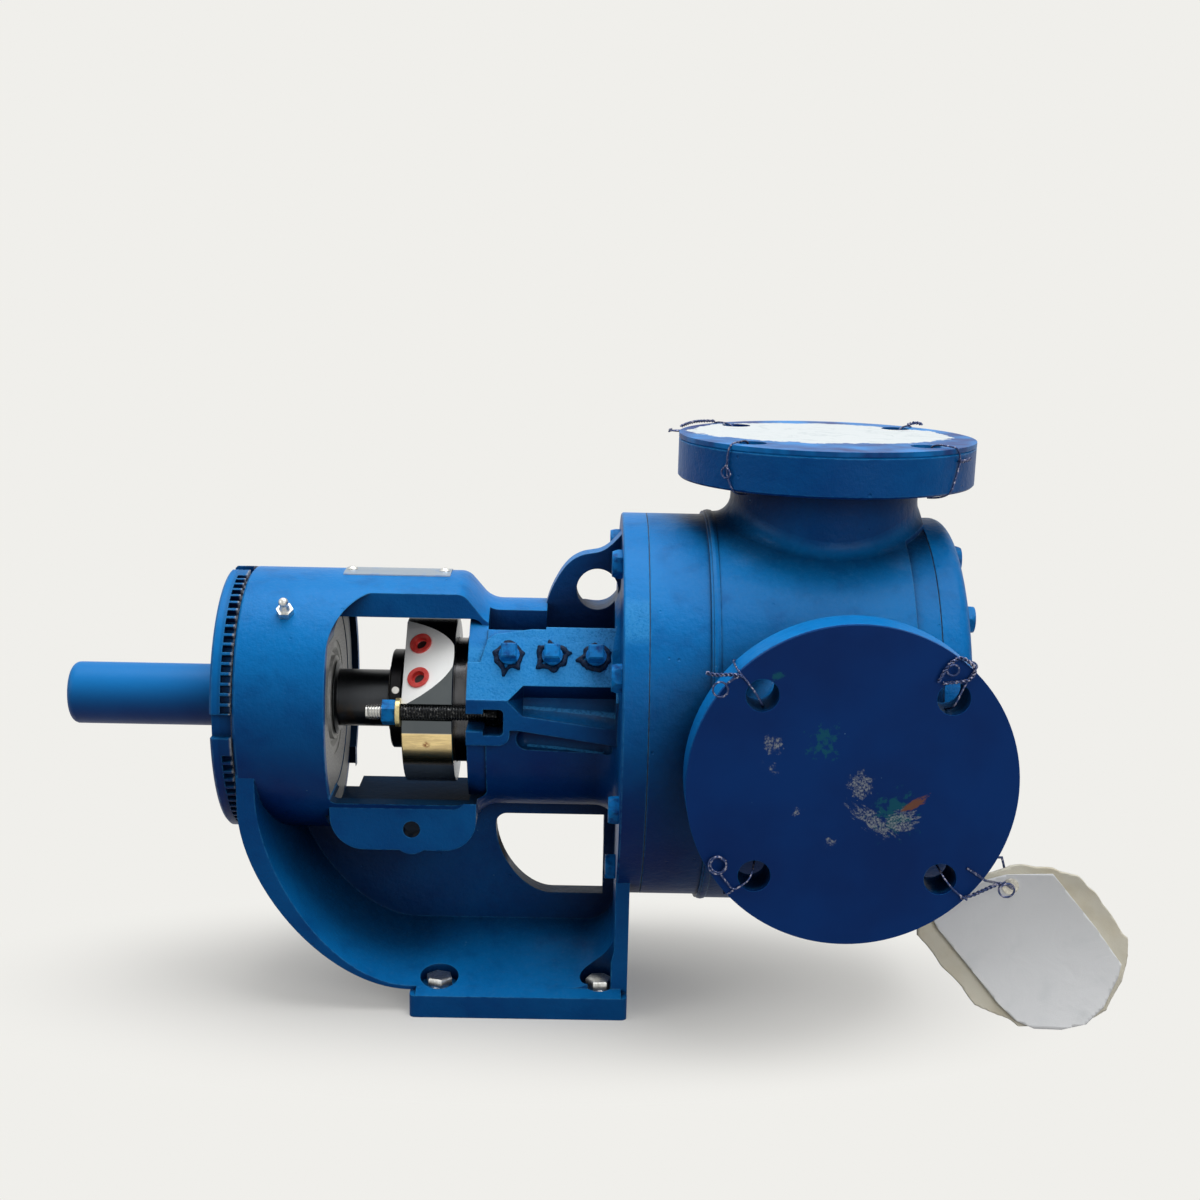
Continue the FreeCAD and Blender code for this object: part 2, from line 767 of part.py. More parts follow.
def window_cuts():
    left = wall_x + window_lip
    right = hub_face_x + window_past_face
    top = end_radius - window_top_drop
    floor = trough_bottom_z + trough_wall
    outline = [(left, top, window_near_corner), (right, top, window_hub_corner)]
    near = prism_y([(left, trough_top_z, 5)] + outline + [(right, trough_top_z, 5)], -end_radius - 40,
                   -strap_half_width)
    far = prism_y([(left, floor, 5)] + outline + [(right, floor, 5)], strap_half_width, end_radius + 40)
    middle_right = hub_face_x + window_middle_past_face
    middle = prism_y([(wall_x, trough_top_z - 1, 0), (wall_x, strap_under_z, 8), (middle_right, strap_under_z, 8),
                      (middle_right, trough_top_z - 1, 0)], -strap_half_width - 1, strap_half_width + 1)
    well = block(wall_x, hub_face_x + 1, -trough_half_width + trough_wall, trough_half_width - trough_wall,
                 floor, trough_top_z + 1)
    disc = rod_x(wall_disc_radius, wall_x, left + 0.1)
    disc = disc.common(block(wall_x, left + 1, -end_radius, end_radius, trough_top_z, strap_under_z))
    return [near, far, middle, well, disc]


def trough_block():
    left = wall_x + trough_end_inset
    right = hub_face_x + trough_past_face
    box = prism_y([(left, trough_top_z + 22, 0), (left, trough_bottom_z, 22), (right, trough_bottom_z, 20),
                   (right, trough_top_z + 22, 0)], -trough_half_width, trough_half_width)
    bump = rod_y(trough_bump_radius, -trough_half_width, trough_half_width, wall_x + drain_from_wall,
                 trough_bottom_z + trough_bump_rise)
    return box.fuse(bump)


def foot_holes():
    holes = []
    for x in (foot_left_x + foot_bolt_inset_x, foot_right_x - foot_bolt_inset_x):
        for side in (-1, 1):
            y = side * (foot_half_width - foot_bolt_inset_y)
            holes.append(rod_z(foot_hole_radius, -axis_height - 1, foot_top_z + 30, x, y))
            holes.append(rod_z(foot_spot_radius, foot_top_z, foot_top_z + 30, x, y))
    return holes


def make_bracket():
    leg = leg_block().cut(side_pocket(-1)).cut(side_pocket(1)).cut(web_window())
    stub_right = hub_face_x + window_past_face + 1
    hub_stub = rod_x(hub_radius, hub_face_x, stub_right)
    hub_stub = hub_stub.cut(block(hub_face_x - 1, stub_right + 1, -end_radius, end_radius, -end_radius, trough_top_z))
    body = leg.fuse([foot_slab(), ramp_edge(-1), ramp_edge(1), shoulder_body(), trough_block()])
    for cut in window_cuts():
        body = body.cut(cut)
    body = body.fuse([hub_stub, hub_pad(), slot_boss(), pad_rib()])
    for cut in pad_groove() + hub_valley() + [hub_hollow(), bolt_slot(), spun(bolt_slot(), 180)]:
        body = body.cut(cut)
    body = body.fuse(lifting_lug()).cut(rod_y(eye_radius, -40, 40, eye_x, eye_z))
    body = body.cut(rod_x(housing_bore_radius, end_x - 1, wall_x + 1))
    body = body.cut(rod_x(hub_bore_radius, hub_face_x - 1, bushing_start_x - 1))
    body = body.cut(rod_x(bushing_radius, bushing_start_x - 2, spigot_length + 1))
    body = body.cut(rod_y(drain_radius, -end_radius, end_radius, wall_x + drain_from_wall,
                          trough_bottom_z + drain_rise))
    for hole in foot_holes():
        body = body.cut(hole)
    y, z = polar(bolt_circle_radius, 0)
    hole = rod_x(bolt_radius, flange_back_x - 1, 1, y, z)
    body = body.cut(ring_of(hole, flange_bolt_count, flange_bolt_start))
    for step in plug_steps:
        body = body.cut(plug_stem(hub_face_x + step))
    return body.cut(grease_stem())


def plug_stem(x):
    stem = rod_y(plug_stem_radius, -pad_distance - 1, -pad_distance + plug_stem_depth, x, 0)
    return spun(stem, -pad_tilt)


def grease_stem():
    stem = rod_y(grease_stem_radius, -end_radius - 0.2, -end_radius + grease_stem_depth, grease_x, 0)
    return spun(stem, -grease_angle)


# Casing, head and covers

def port_holes(z0, z1):
    step = (port_flange_radius - port_bolt_inset) * math.sqrt(0.5)
    return [rod_z(port_hole_radius, z0, z1, port_x + sx * step, sy * step) for sx in (-1, 1) for sy in (-1, 1)]


def port_pieces(side):
    """Neck, flange and bore of the top port; the side port is the same turned toward the viewer."""
    neck = rod_z(port_neck_radius, port_root, port_face - 10, port_x, 0)
    flange = rod_z(port_flange_radius, port_face - port_flange_thickness, port_face, port_x, 0)
    flange = flange.makeChamfer(port_flange_chamfer, [e for e in flange.Edges if isinstance(e.Curve, Part.Circle)])
    bore = rod_z(port_bore_radius, chamber_radius - 12, port_face + 1, port_x, 0)
    holes = port_holes(port_face - port_flange_thickness - 1, port_face + 1)
    return [spun(item, 90 * side) for item in [neck, flange, bore] + holes]


def neck_edges(shape):
    """The saddle curves where the two necks meet the barrel."""
    found = []
    for edge in shape.Edges:
        plain = isinstance(edge.Curve, (Part.Circle, Part.Line))
        if abs(edge.BoundBox.Center.x - port_x) < 5 and edge.Length > port_neck_radius and not plain:
            found.append(edge)
    return found


def land_cutter(x0, x1, clearance):
    """Ring that turns the barrel down to the land, but spares the necks."""
    reach = port_neck_radius + clearance
    ring = tube_x(land_radius, body_radius + 11, x0, x1)
    ring = ring.cut(rod_z(reach, chamber_radius, port_face, port_x, 0))
    return ring.cut(rod_y(reach, -port_face, -chamber_radius, port_x, 0))


def make_casing():
    top = port_pieces(0)
    side = port_pieces(1)
    body = rod_x(body_radius, -30, casing_length + 34).fuse(top[0]).fuse(side[0])
    body = body.makeFillet(neck_fillet, neck_edges(body))
    left_land = land_cutter(-31, left_land_length, left_land_clearance)
    right_land = land_cutter(casing_length - right_land_length, casing_length + 35, right_land_clearance)
    body = body.cut([left_land, right_land])
    body = body.common(block(0, casing_length, -port_face, port_face, -port_face, port_face))
    ridge_x = left_land_length + ridge_gap
    ridge_root = body_radius - 9
    rim = body_radius + ridge_height
    ridge = turned([(ridge_x, ridge_root), (ridge_x, rim - 0.4), (ridge_x + ridge_width * 0.4, rim),
                    (ridge_x + ridge_width * 0.8, rim - 0.4), (ridge_x + ridge_width, ridge_root)])
    body = body.fuse([ridge, top[1], side[1]])
    body = body.cut(rod_x(chamber_radius, -1, casing_length + 1))
    body = body.cut(top[2:] + side[2:])
    y, z = polar(bolt_circle_radius, 0)
    near_hole = rod_x(bolt_radius, -1, casing_hole_depth, y, z)
    far_hole = rod_x(bolt_radius, casing_length - casing_hole_depth, casing_length + 1, y, z)
    body = body.cut(ring_of(near_hole, flange_bolt_count, flange_bolt_start))
    return body.cut(ring_of(far_hole, head_bolt_count, head_bolt_start))


def make_cover(side):
    cover = rod_z(port_flange_radius, port_face, port_face + cover_thickness, port_x, 0)
    cover = cover.cut(port_holes(port_face - 1, port_face + cover_thickness + 1))
    return spun(cover, 90 * side)


def make_gasket(x0, inner, count, start):
    y, z = polar(bolt_circle_radius, 0)
    ring = tube_x(inner, land_radius - 0.3, x0, x0 + gasket_thickness)
    hole = rod_x(bolt_radius, x0 - 1, x0 + 2, y, z)
    return ring.cut(ring_of(hole, count, start))


def idler_axis():
    a = math.radians(mesh_angle)
    return centre_offset * math.cos(a), centre_offset * math.sin(a)


def make_crescent():
    iy, iz = idler_axis()
    start = rotor_face_x + 2 * side_gap
    ring = rod_x(rotor_tip_radius - mesh_clearance, start, head_inner_x + 0.5)
    inner = rod_x(idler_tip_radius + mesh_clearance, start - 1, head_inner_x + 2, iy, iz)
    moon = ring.cut(inner)
    middle = math.radians(mesh_angle + 180)
    reach = 2 * rotor_tip_radius
    points = [(0, 0)]
    for turn in (-crescent_half_angle, 0, crescent_half_angle):
        a = middle + math.radians(turn)
        points.append((reach * math.cos(a), reach * math.sin(a)))
    return moon.common(prism_x(points, start - 1, head_inner_x + 2))


def make_head():
    s = math.sqrt(0.5)
    rim = 8.0
    floor_x = head_face_x - 3
    a = Vector(head_inner_x, 0, 0)
    b = Vector(head_inner_x, 0, spigot_radius)
    c = Vector(head_seat_x, 0, spigot_radius)
    d = Vector(head_seat_x, 0, head_radius)
    e = Vector(head_face_x - rim, 0, head_radius)
    f = Vector(head_face_x, 0, head_radius - rim)
    mid = Vector(head_face_x - rim * (1 - s), 0, head_radius - rim * (1 - s))
    g = Vector(head_face_x, 0, bolt_circle_radius - 13)
    h = Vector(floor_x, 0, bolt_circle_radius - 18)
    k = Vector(floor_x, 0, 0)
    edges = [Part.makeLine(a, b), Part.makeLine(b, c), Part.makeLine(c, d), Part.makeLine(d, e),
             Part.Arc(e, mid, f).toShape(), Part.makeLine(f, g), Part.makeLine(g, h), Part.makeLine(h, k),
             Part.makeLine(k, a)]
    body = turned_wire(edges)
    iy, iz = idler_axis()
    boss = Part.makeCone(pin_radius + 20, pin_radius + 15, 6, Vector(floor_x - 0.5, iy, iz), Vector(1, 0, 0))
    body = body.fuse([boss, make_crescent()])
    y, z = polar(bolt_circle_radius, 0)
    hole = rod_x(bolt_radius, head_seat_x - 1, head_face_x + 1, y, z)
    spot = rod_x(head_spot_radius, head_face_x - head_spot_depth, head_face_x + 1, y, z)
    body = body.cut(ring_of(hole.fuse(spot), head_bolt_count, head_bolt_start))
    return body.cut(rod_x(pin_radius, head_inner_x - 1, head_face_x + 9, iy, iz))


# Gear pair

def tooth_half_width(reach):
    """Half width of a rotor tooth at a distance from the rotor centre along the tooth's own middle line."""
    span = rotor_radius - rotor_tip_radius
    width = tooth_tip_half + (tooth_root_half - tooth_tip_half) * (reach - rotor_tip_radius) / span
    if reach < rotor_tip_radius + tooth_nose:
        rise = rotor_tip_radius + tooth_nose - reach
        width = width - tooth_nose + math.sqrt(max(tooth_nose * tooth_nose - rise * rise, 0))
    return width


def swept(rho, phi, spread):
    """True where a turning rotor tooth passes through this point of the idler blank."""
    ratio = rotor_teeth / idler_teeth
    pitch = 2 * math.pi / rotor_teeth
    for step in range(-sweep_reach, sweep_reach + 1):
        turn = math.radians(step * sweep_step)
        angle = phi + turn * ratio
        px = centre_offset + rho * math.cos(angle)
        py = rho * math.sin(angle)
        around = math.atan2(py, px) - turn
        around -= pitch * round(around / pitch)
        reach = math.hypot(px, py)
        along = reach * math.cos(around)
        across = abs(reach * math.sin(around))
        if along < rotor_tip_radius - spread:
            continue
        if across < tooth_half_width(max(along, rotor_tip_radius)) + spread:
            return True
    return False


def first_swept(phi):
    """Smallest radius in the idler blank that a rotor tooth reaches at this angle."""
    low = idler_search_start
    while low < idler_tip_radius and not swept(low + 1.0, phi, mesh_clearance):
        low += 1.0
    high = low + 1.0
    for _ in range(12):
        middle = (low + high) / 2
        if swept(middle, phi, mesh_clearance):
            high = middle
        else:
            low = middle
    return low


def idler_gap():
    """Half of the idler's tooth space as (radius, angle), from its middle out to the tip circle."""
    half_pitch = math.pi / idler_teeth
    points = []
    for i in range(gap_samples + 1):
        phi = half_pitch * i / gap_samples
        radius = first_swept(phi)
        if radius > idler_tip_radius - 0.05:
            break
        points.append((radius, phi))
    return points


def crossing_angle(last_phi):
    low = last_phi
    high = last_phi + math.pi / idler_teeth / gap_samples
    for _ in range(14):
        middle = (low + high) / 2
        if first_swept(middle) < idler_tip_radius:
            low = middle
        else:
            high = middle
    return low


def make_idler():
    iy, iz = idler_axis()
    half = idler_gap()
    edge_phi = crossing_angle(half[-1][1])
    half.append((idler_tip_radius, edge_phi))
    profile = [(r, -phi) for r, phi in reversed(half[1:])] + half
    start = math.radians(mesh_angle)
    pitch = 2 * math.pi / idler_teeth

    def at(radius, angle):
        return Vector(idler_start_x, iy + radius * math.cos(angle), iz + radius * math.sin(angle))

    edges = []
    for i in range(idler_teeth):
        base = start + i * pitch
        curve = Part.BSplineCurve()
        curve.interpolate([at(r, base + phi) for r, phi in profile])
        edges.append(curve.toShape())
        first = at(idler_tip_radius, base + edge_phi)
        mid = at(idler_tip_radius, base + pitch / 2)
        last = at(idler_tip_radius, base + pitch - edge_phi)
        edges.append(Part.Arc(first, mid, last).toShape())
    blank = Part.Face(Part.Wire(edges)).extrude(Vector(gear_end_x - idler_start_x, 0, 0))
    return blank.cut(rod_x(idler_bore_radius, idler_start_x - 1, gear_end_x + 1, iy, iz))


def rotor_tooth():
    """One finger tooth pointing at the mesh, drawn along the y axis and turned into place."""
    nose = [(rotor_tip_radius + step * tooth_nose, tooth_half_width(rotor_tip_radius + step * tooth_nose))
            for step in (0.0, 0.12, 0.4, 0.73, 1.0)]
    end_reach = math.sqrt(rotor_radius ** 2 - tooth_root_half ** 2)
    end_half = tooth_half_width(end_reach)
    left = Part.BSplineCurve()
    left.interpolate([Vector(0, r, w) for r, w in nose])
    right = Part.BSplineCurve()
    right.interpolate([Vector(0, r, -w) for r, w in nose])
    tip_reach, tip_half = nose[0]
    nose_reach, nose_half = nose[-1]
    p = Vector(0, nose_reach, nose_half)
    q = Vector(0, end_reach, end_half)
    p2 = Vector(0, nose_reach, -nose_half)
    q2 = Vector(0, end_reach, -end_half)
    outer = Part.Arc(q, Vector(0, math.hypot(end_reach, end_half), 0), q2).toShape()
    edges = [Part.makeLine(Vector(0, tip_reach, -tip_half), Vector(0, tip_reach, tip_half)), left.toShape(),
             Part.makeLine(p, q), outer, Part.makeLine(q2, p2), right.toShape()]
    face = Part.Face(Part.Wire(Part.__sortEdges__(edges)))
    tooth = face.extrude(Vector(gear_end_x - rotor_face_x + 2, 0, 0))
    tooth.translate(Vector(rotor_face_x - 2, 0, 0))
    return tooth


def make_rotor():
    disc = tube_x(journal_radius, rotor_radius, rotor_disc_x, rotor_face_x)
    tooth = rotor_tooth()
    teeth = [spun(tooth, mesh_angle + full_turn * i / rotor_teeth) for i in range(rotor_teeth)]
    deep = rotor_face_x - 1.5
    clear = rotor_face_x + 1
    inner = journal_radius + 6.2
    outer = rotor_tip_radius - 4
    relief = turned([(deep, inner), (deep, outer - 4), (clear, outer), (clear, inner)])
    return disc.fuse(teeth).cut(relief)


# Shaft

def make_shaft():
    corner = shaft_end_round
    s = math.sqrt(0.5)
    a = Vector(shaft_end_x, 0, 0)
    b = Vector(shaft_end_x, 0, drive_radius - corner)
    mid = Vector(shaft_end_x + corner * (1 - s), 0, drive_radius - corner * (1 - s))
    c = Vector(shaft_end_x + corner, 0, drive_radius)
    steps = [(drive_shoulder_x, drive_radius), (drive_shoulder_x + 0.6, seal_journal_radius),
             (seat_start_x, seal_journal_radius), (seat_start_x + 0.8, seat_radius),
             (seat_end_x - shaft_chamfer, seat_radius), (seat_end_x, seat_radius - shaft_chamfer),
             (seat_end_x, relief_radius), (relief_end_x, relief_radius), (relief_end_x, journal_radius - 1.5),
             (relief_end_x + 1.5, journal_radius), (shaft_tip_x - shaft_chamfer, journal_radius),
             (shaft_tip_x, journal_radius - shaft_chamfer), (shaft_tip_x, 0)]
    corners = [Vector(x, 0, r) for x, r in steps]
    edges = [Part.makeLine(a, b), Part.Arc(b, mid, c).toShape(), Part.makeLine(c, corners[0])]
    for first, second in zip(corners, corners[1:]):
        edges.append(Part.makeLine(first, second))
    edges.append(Part.makeLine(corners[-1], a))
    body = turned_wire(edges)
    half = keyway_width / 2
    x0 = shaft_end_x + keyway_start
    x1 = x0 + keyway_length
    floor = drive_radius - keyway_depth
    slot = block(x0, x1 - half, floor, drive_radius + 2, -half, half)
    run_out = rod_y(half, floor, drive_radius + 2, x1 - half, 0)
    centre_hole = rod_x(centre_hole_radius, shaft_end_x - 1, shaft_end_x + centre_hole_depth)
    return body.cut(slot).cut(run_out).cut(centre_hole)


# Thrust bearings and their housing

def roller_at(x_middle, facing, grow=0.0):
    """Tapered roller on the viewer's side; 'facing' is the side the big end looks to."""
    tilt = math.radians(roller_tilt)
    direction = Vector(facing * math.cos(tilt), -math.sin(tilt), 0)
    middle = Vector(x_middle, -roller_path, 0)
    start = middle - direction * (roller_length / 2)
    return Part.makeCone(roller_small + grow, roller_big + grow, roller_length, start, direction)


def bearing_middles():
    first = bearing_start_x + bearing_width / 2
    return (first, -1), (first + bearing_width + bearing_gap, 1)


def race_radius(offset, facing, side):
    """Radius of the cup (side 1) or cone (side -1) raceway at an axial offset from the bearing's middle."""
    tilt = math.radians(roller_tilt)
    taper = math.asin((roller_big - roller_small) / roller_length)
    along = offset * facing
    path = roller_path + along * math.tan(tilt)
    body = (roller_small + roller_big) / 2 / math.cos(taper)
    slope = math.tan(tilt + side * taper) - math.tan(tilt)
    return path + side * (body / math.cos(tilt) + film) + along * slope


def bearing_rings(edge, side):
    """One ring per bearing between a plain radius and the raceway on that side of the rollers."""
    half = bearing_width / 2
    return [turned([(x - half, edge), (x + half, edge), (x + half, race_radius(half, facing, side)),
                    (x - half, race_radius(-half, facing, side))]) for x, facing in bearing_middles()]


def make_rollers():
    rollers = []
    for x, facing in bearing_middles():
        rollers += ring_of(roller_at(x, facing), roller_count)
    return rollers


def make_cages():
    cages = []
    for x, facing in bearing_middles():
        reach = roller_length / 2 + cage_reach
        rise = facing * reach * math.tan(math.radians(roller_tilt))
        inner = roller_path - cage_inner
        outer = roller_path + cage_outer
        shell = turned([(x - reach, inner - rise), (x - reach, outer - rise), (x + reach, outer + rise),
                        (x + reach, inner + rise)])
        cages.append(shell.cut(ring_of(roller_at(x, facing, cage_play), roller_count)))
    return cages


def make_spacer(inner, outer):
    first = bearing_start_x + bearing_width
    return tube_x(inner, outer, first, first + bearing_gap)


def make_bearing_housing():
    inner_end = wall_x - 0.5
    rim = end_radius - 1.5
    body = turned([(ring_left_x, cap_radius), (ring_left_x, rim), (ring_left_x + 1.5, end_radius),
                   (ring_right_x, end_radius), (ring_right_x, barrel_radius), (inner_end, barrel_radius),
                   (inner_end, inner_lip_radius), (bearing_end_x, inner_lip_radius), (bearing_end_x, cup_radius),
                   (bearing_start_x, cup_radius), (bearing_start_x, cap_radius)])
    floor = ring_left_x + face_groove_depth
    body = body.cut(turned([(ring_left_x - 1, face_groove_inner), (ring_left_x - 1, face_groove_outer),
                            (floor, face_groove_outer - face_groove_draft),
                            (floor, face_groove_inner + face_groove_draft)]))
    slot = block(notch_left_x, ring_right_x + 1, -end_radius - 2, -end_radius + notch_depth,
                 -notch_half_width, notch_half_width)
    slots = []
    for i in range(notch_count):
        angle = full_turn * i / notch_count
        if (angle - lug_arc_start) % (full_turn / carrier_slot_count) < lug_arc_width:
            continue
        slots.append(spun(slot, -angle))
    body = body.cut(slots)
    gap = block(ring_left_x - 1, ring_right_x + 1, -end_radius - 2, -end_radius + carrier_slot_depth,
                -carrier_slot_half_width, carrier_slot_half_width)
    body = body.cut(ring_of(gap, carrier_slot_count, 1.5))
    hole = rod_x(set_screw_radius, ring_left_x - 1, ring_left_x + set_screw_end, -set_screw_circle, 0)
    return body.cut(ring_of(hole, 2, 45))


def make_housing_screws():
    left = ring_left_x + face_groove_depth
    screw = rod_x(set_screw_radius, left, ring_left_x + set_screw_end, -set_screw_circle, 0)
    screw = screw.cut(hexagon_x(set_screw_radius, left - 1, left + 2.5, -set_screw_circle, 0))
    return ring_of(screw, 2, 45)


def make_end_cap():
    bore = cap_radius - 10.5
    body = turned([(cap_face_x, lip_radius), (cap_face_x, cap_radius - 3), (cap_face_x + 3, cap_radius),
                   (bearing_start_x, cap_radius), (bearing_start_x, bore), (cap_inner_x, bore),
                   (cap_inner_x, lip_radius)])
    slot = block(cap_face_x - 1, cap_face_x + 3.5, -cap_radius - 1, -cap_radius + cap_slot_depth,
                 -cap_slot_half_width, cap_slot_half_width)
    return body.cut(ring_of(slot, 4, 20))


def make_outer_lip_seal():
    touch = seal_journal_radius + film
    left = cap_face_x + 0.5
    return turned([(left, lip_radius), (cap_inner_x, lip_radius), (cap_inner_x, seal_journal_radius + 4.6),
                   (cap_inner_x - 1, touch), (cap_inner_x - 2.5, touch), (left, seal_journal_radius + 3.6)])


def make_inner_lip_seal():
    touch = collar_radius + film
    left = bearing_end_x + 0.3
    right = wall_x - 1
    return turned([(left, inner_lip_radius), (right, inner_lip_radius), (right, collar_radius + 3.5),
                   (right - 4.2, touch), (right - 5.6, touch), (left, collar_radius + 4)])


def make_spacer_collar():
    return tube_x(seat_radius, collar_radius, bearing_end_x, seat_end_x)


def make_half_rings():
    ring = tube_x(relief_radius, collar_radius - 2, seat_end_x, wall_x)
    reach = collar_radius + 10
    near = ring.common(block(seat_end_x - 1, wall_x + 1, -reach, -0.2, -reach, reach))
    far = ring.common(block(seat_end_x - 1, wall_x + 1, 0.2, reach, -reach, reach))
    return [near, far]


def make_slinger():
    left = wall_x + 0.2
    root = relief_radius + 2.95
    return turned([(left, relief_radius), (left, root), (left + 1.4, root + 3), (left + 3.0, root),
                   (left + 3.0, relief_radius)])


def make_locknut():
    left = locknut_right_x - locknut_thickness
    outer = seat_radius + locknut_height
    body = turned([(left, seat_radius), (left, outer - 1), (left + 1, outer), (locknut_right_x, outer),
                   (locknut_right_x, seat_radius)])
    slot = block(left - 1.5, locknut_right_x + 1.2, -outer - 2, -outer + 3, -2.5, 2.5)
    return body.cut(ring_of(slot, 4, 45))


def make_lockwasher():
    outer = seat_radius + lockwasher_height
    body = tube_x(seat_radius, outer, locknut_right_x, bearing_start_x)
    tab = block(locknut_right_x, bearing_start_x, -outer - 2, -outer + 1, -2.2, 2.2)
    return body.fuse(ring_of(tab, 5, 9))


# Cartridge seal

def gland_flat():
    deep = -gland_radius + gland_flat_deep
    shallow = -gland_radius + gland_flat_shallow
    clear = -gland_radius - 15
    reach = gland_radius - 10
    corners = [Vector(gland_left_x, deep, -reach), Vector(gland_right_x, shallow, -reach),
               Vector(gland_right_x, clear, -reach), Vector(gland_left_x, clear, -reach)]
    cutter = Part.Face(Part.makePolygon(corners + [corners[0]])).extrude(Vector(0, 0, 2 * reach))
    return spun(cutter, -gland_flat_angle)


def flat_plug(across, hollow, proud):
    slope = (gland_flat_deep - gland_flat_shallow) / gland_length
    tilt = math.atan(slope)
    out = Vector(-math.sin(tilt), -math.cos(tilt), 0)
    y = -gland_radius + gland_flat_deep - slope * plug_from_face
    base = Vector(gland_left_x + plug_from_face, y, across) - out * plug_seat
    body = Part.makeCylinder(plug_radius, plug_seat + proud, base, out)
    if hollow:
        body = body.cut(Part.makeCylinder(plug_hollow_radius, plug_seat + proud, base + out * plug_floor, out))
    return spun(body, -gland_flat_angle)


def make_gland():
    inner = sleeve_radius + 1
    body = turned([(gland_left_x, inner), (gland_left_x, gland_radius - 0.6), (gland_left_x + 0.6, gland_radius),
                   (gland_right_x - 0.6, gland_radius), (gland_right_x, gland_radius - 0.6),
                   (gland_right_x, seal_bore), (gland_left_x + gland_floor, seal_bore),
                   (gland_left_x + gland_floor, inner)])
    flat = gland_flat()
    body = body.cut([flat, spun(flat, 180)])
    play = gland_bolt_radius + gland_bolt_play
    slot = rod_x(play, gland_left_x - 1, gland_right_x + 1, gland_bolt_y + 0.3, gland_bolt_z)
    slot = slot.fuse(block(gland_left_x - 1, gland_right_x + 1, gland_bolt_y - 5, gland_bolt_y,
                           gland_bolt_z - play, gland_bolt_z + play))
    body = body.cut([slot, spun(slot, 180)])
    for side in (0, 180):
        for across in (-plug_spread, plug_spread):
            body = body.cut(spun(flat_plug(across, False, 0), side))
    return body


def make_seal_plugs():
    return [spun(flat_plug(across, True, plug_proud), side) for side in (0, 180)
            for across in (-plug_spread, plug_spread)]


def collar_hole(reach):
    middle = (collar_left_x + collar_right_x) / 2
    return rod_y(collar_screw_radius, -sleeve_radius - reach, -sleeve_radius, middle, 0)


def make_drive_collar():
    outer = sleeve_radius + drive_collar_height
    body = turned([(collar_left_x, sleeve_radius), (collar_left_x, outer - 0.8), (collar_left_x + 0.8, outer),
                   (collar_right_x - 0.8, outer), (collar_right_x, outer - 0.8), (collar_right_x, sleeve_radius)])
    return body.cut(ring_of(collar_hole(drive_collar_height + 1), 3, 24))


def make_collar_screws():
    return ring_of(collar_hole(drive_collar_height - 0.6), 3, 24)


def make_seal_sleeve():
    return tube_x(journal_radius, sleeve_radius, sleeve_left_x, hub_face_x + sleeve_into_hub)


def make_fixed_face():
    left = gland_left_x + gland_floor
    contact = gland_left_x + face_contact
    return turned([(left, sleeve_radius + 1.2), (left, seal_bore), (left + 6, seal_bore), (left + 6, seal_bore - 5),
                   (contact, seal_bore - 6), (contact, sleeve_radius + 2.5)])


def make_turning_face():
    left = gland_left_x + face_contact + film
    right = gland_left_x + turning_face_end
    rim = seal_bore - 3.5
    return turned([(left, sleeve_radius + 2.5), (left, seal_bore - 6), (right - 3, rim), (right, rim),
                   (right, sleeve_radius)])


def make_bellows():
    top = []
    low = []
    for i in range(bellows_steps + 1):
        x = gland_left_x + turning_face_end + i * bellows_pitch
        crest = bellows_low if i % 2 == 0 else bellows_high
        top.append((x, sleeve_radius + crest))
        low.append((x, sleeve_radius + crest - bellows_wall))
    return turned(top + list(reversed(low)))


def make_bellows_holder():
    left = gland_left_x + turning_face_end + bellows_steps * bellows_pitch
    right = left + holder_length
    return turned([(left, sleeve_radius), (left, sleeve_radius + bellows_high), (right, sleeve_radius + 4),
                   (right, sleeve_radius)])


def make_adapter_ring():
    step = hub_face_x - 3
    return turned([(gland_right_x, seal_bore - 2.5), (gland_right_x, seal_bore - 0.5), (step, seal_bore - 0.5),
                   (step, seal_bore + 1.5), (hub_face_x, seal_bore + 1.5), (hub_face_x, hub_bore_radius + 0.5),
                   (step - 1, seal_bore - 2.5)])


def make_gland_bolts():
    seat = hub_face_x + gland_bolt_into_hub
    shank = rod_x(gland_bolt_radius, gland_left_x - gland_bolt_past, seat, gland_bolt_y, gland_bolt_z)
    head = hexagon_x(gland_head_across, seat - 0.3, seat - 0.3 + gland_head_length, gland_bolt_y, gland_bolt_z, 30)
    bolt = shank.fuse(head)
    return [bolt, spun(bolt, 180)]


def make_gland_nuts():
    right = gland_left_x - gland_washer_thickness
    nut = hexagon_x(gland_nut_across, right - gland_nut_height, right, gland_bolt_y, gland_bolt_z, 30)
    nut = nut.cut(rod_x(gland_bolt_radius, right - gland_nut_height - 1, right + 1, gland_bolt_y, gland_bolt_z))
    return [nut, spun(nut, 180)]


def make_gland_washers():
    left = gland_left_x - gland_washer_thickness
    washer = rod_x(gland_washer_radius, left, gland_left_x, gland_bolt_y, gland_bolt_z)
    washer = washer.cut(rod_x(gland_bolt_radius, left - 1, gland_left_x + 1, gland_bolt_y, gland_bolt_z))
    return [washer, spun(washer, 180)]


# Small fixed pieces

def make_pipe_plugs():
    plugs = []
    face = -pad_distance
    for step in plug_steps:
        x = hub_face_x + step
        stem = rod_y(plug_stem_radius, face - 2.2, face + plug_stem_depth, x, 0)
        head = block(x - plug_head_half, x + plug_head_half, face - plug_head_top, face - 2,
                     -plug_head_half, plug_head_half)
        rim = [e for e in head.Edges if e.BoundBox.YMax < face - plug_head_top + 0.5]
        plugs.append(spun(stem.fuse(head.makeChamfer(0.9, rim)), -pad_tilt))
    return plugs


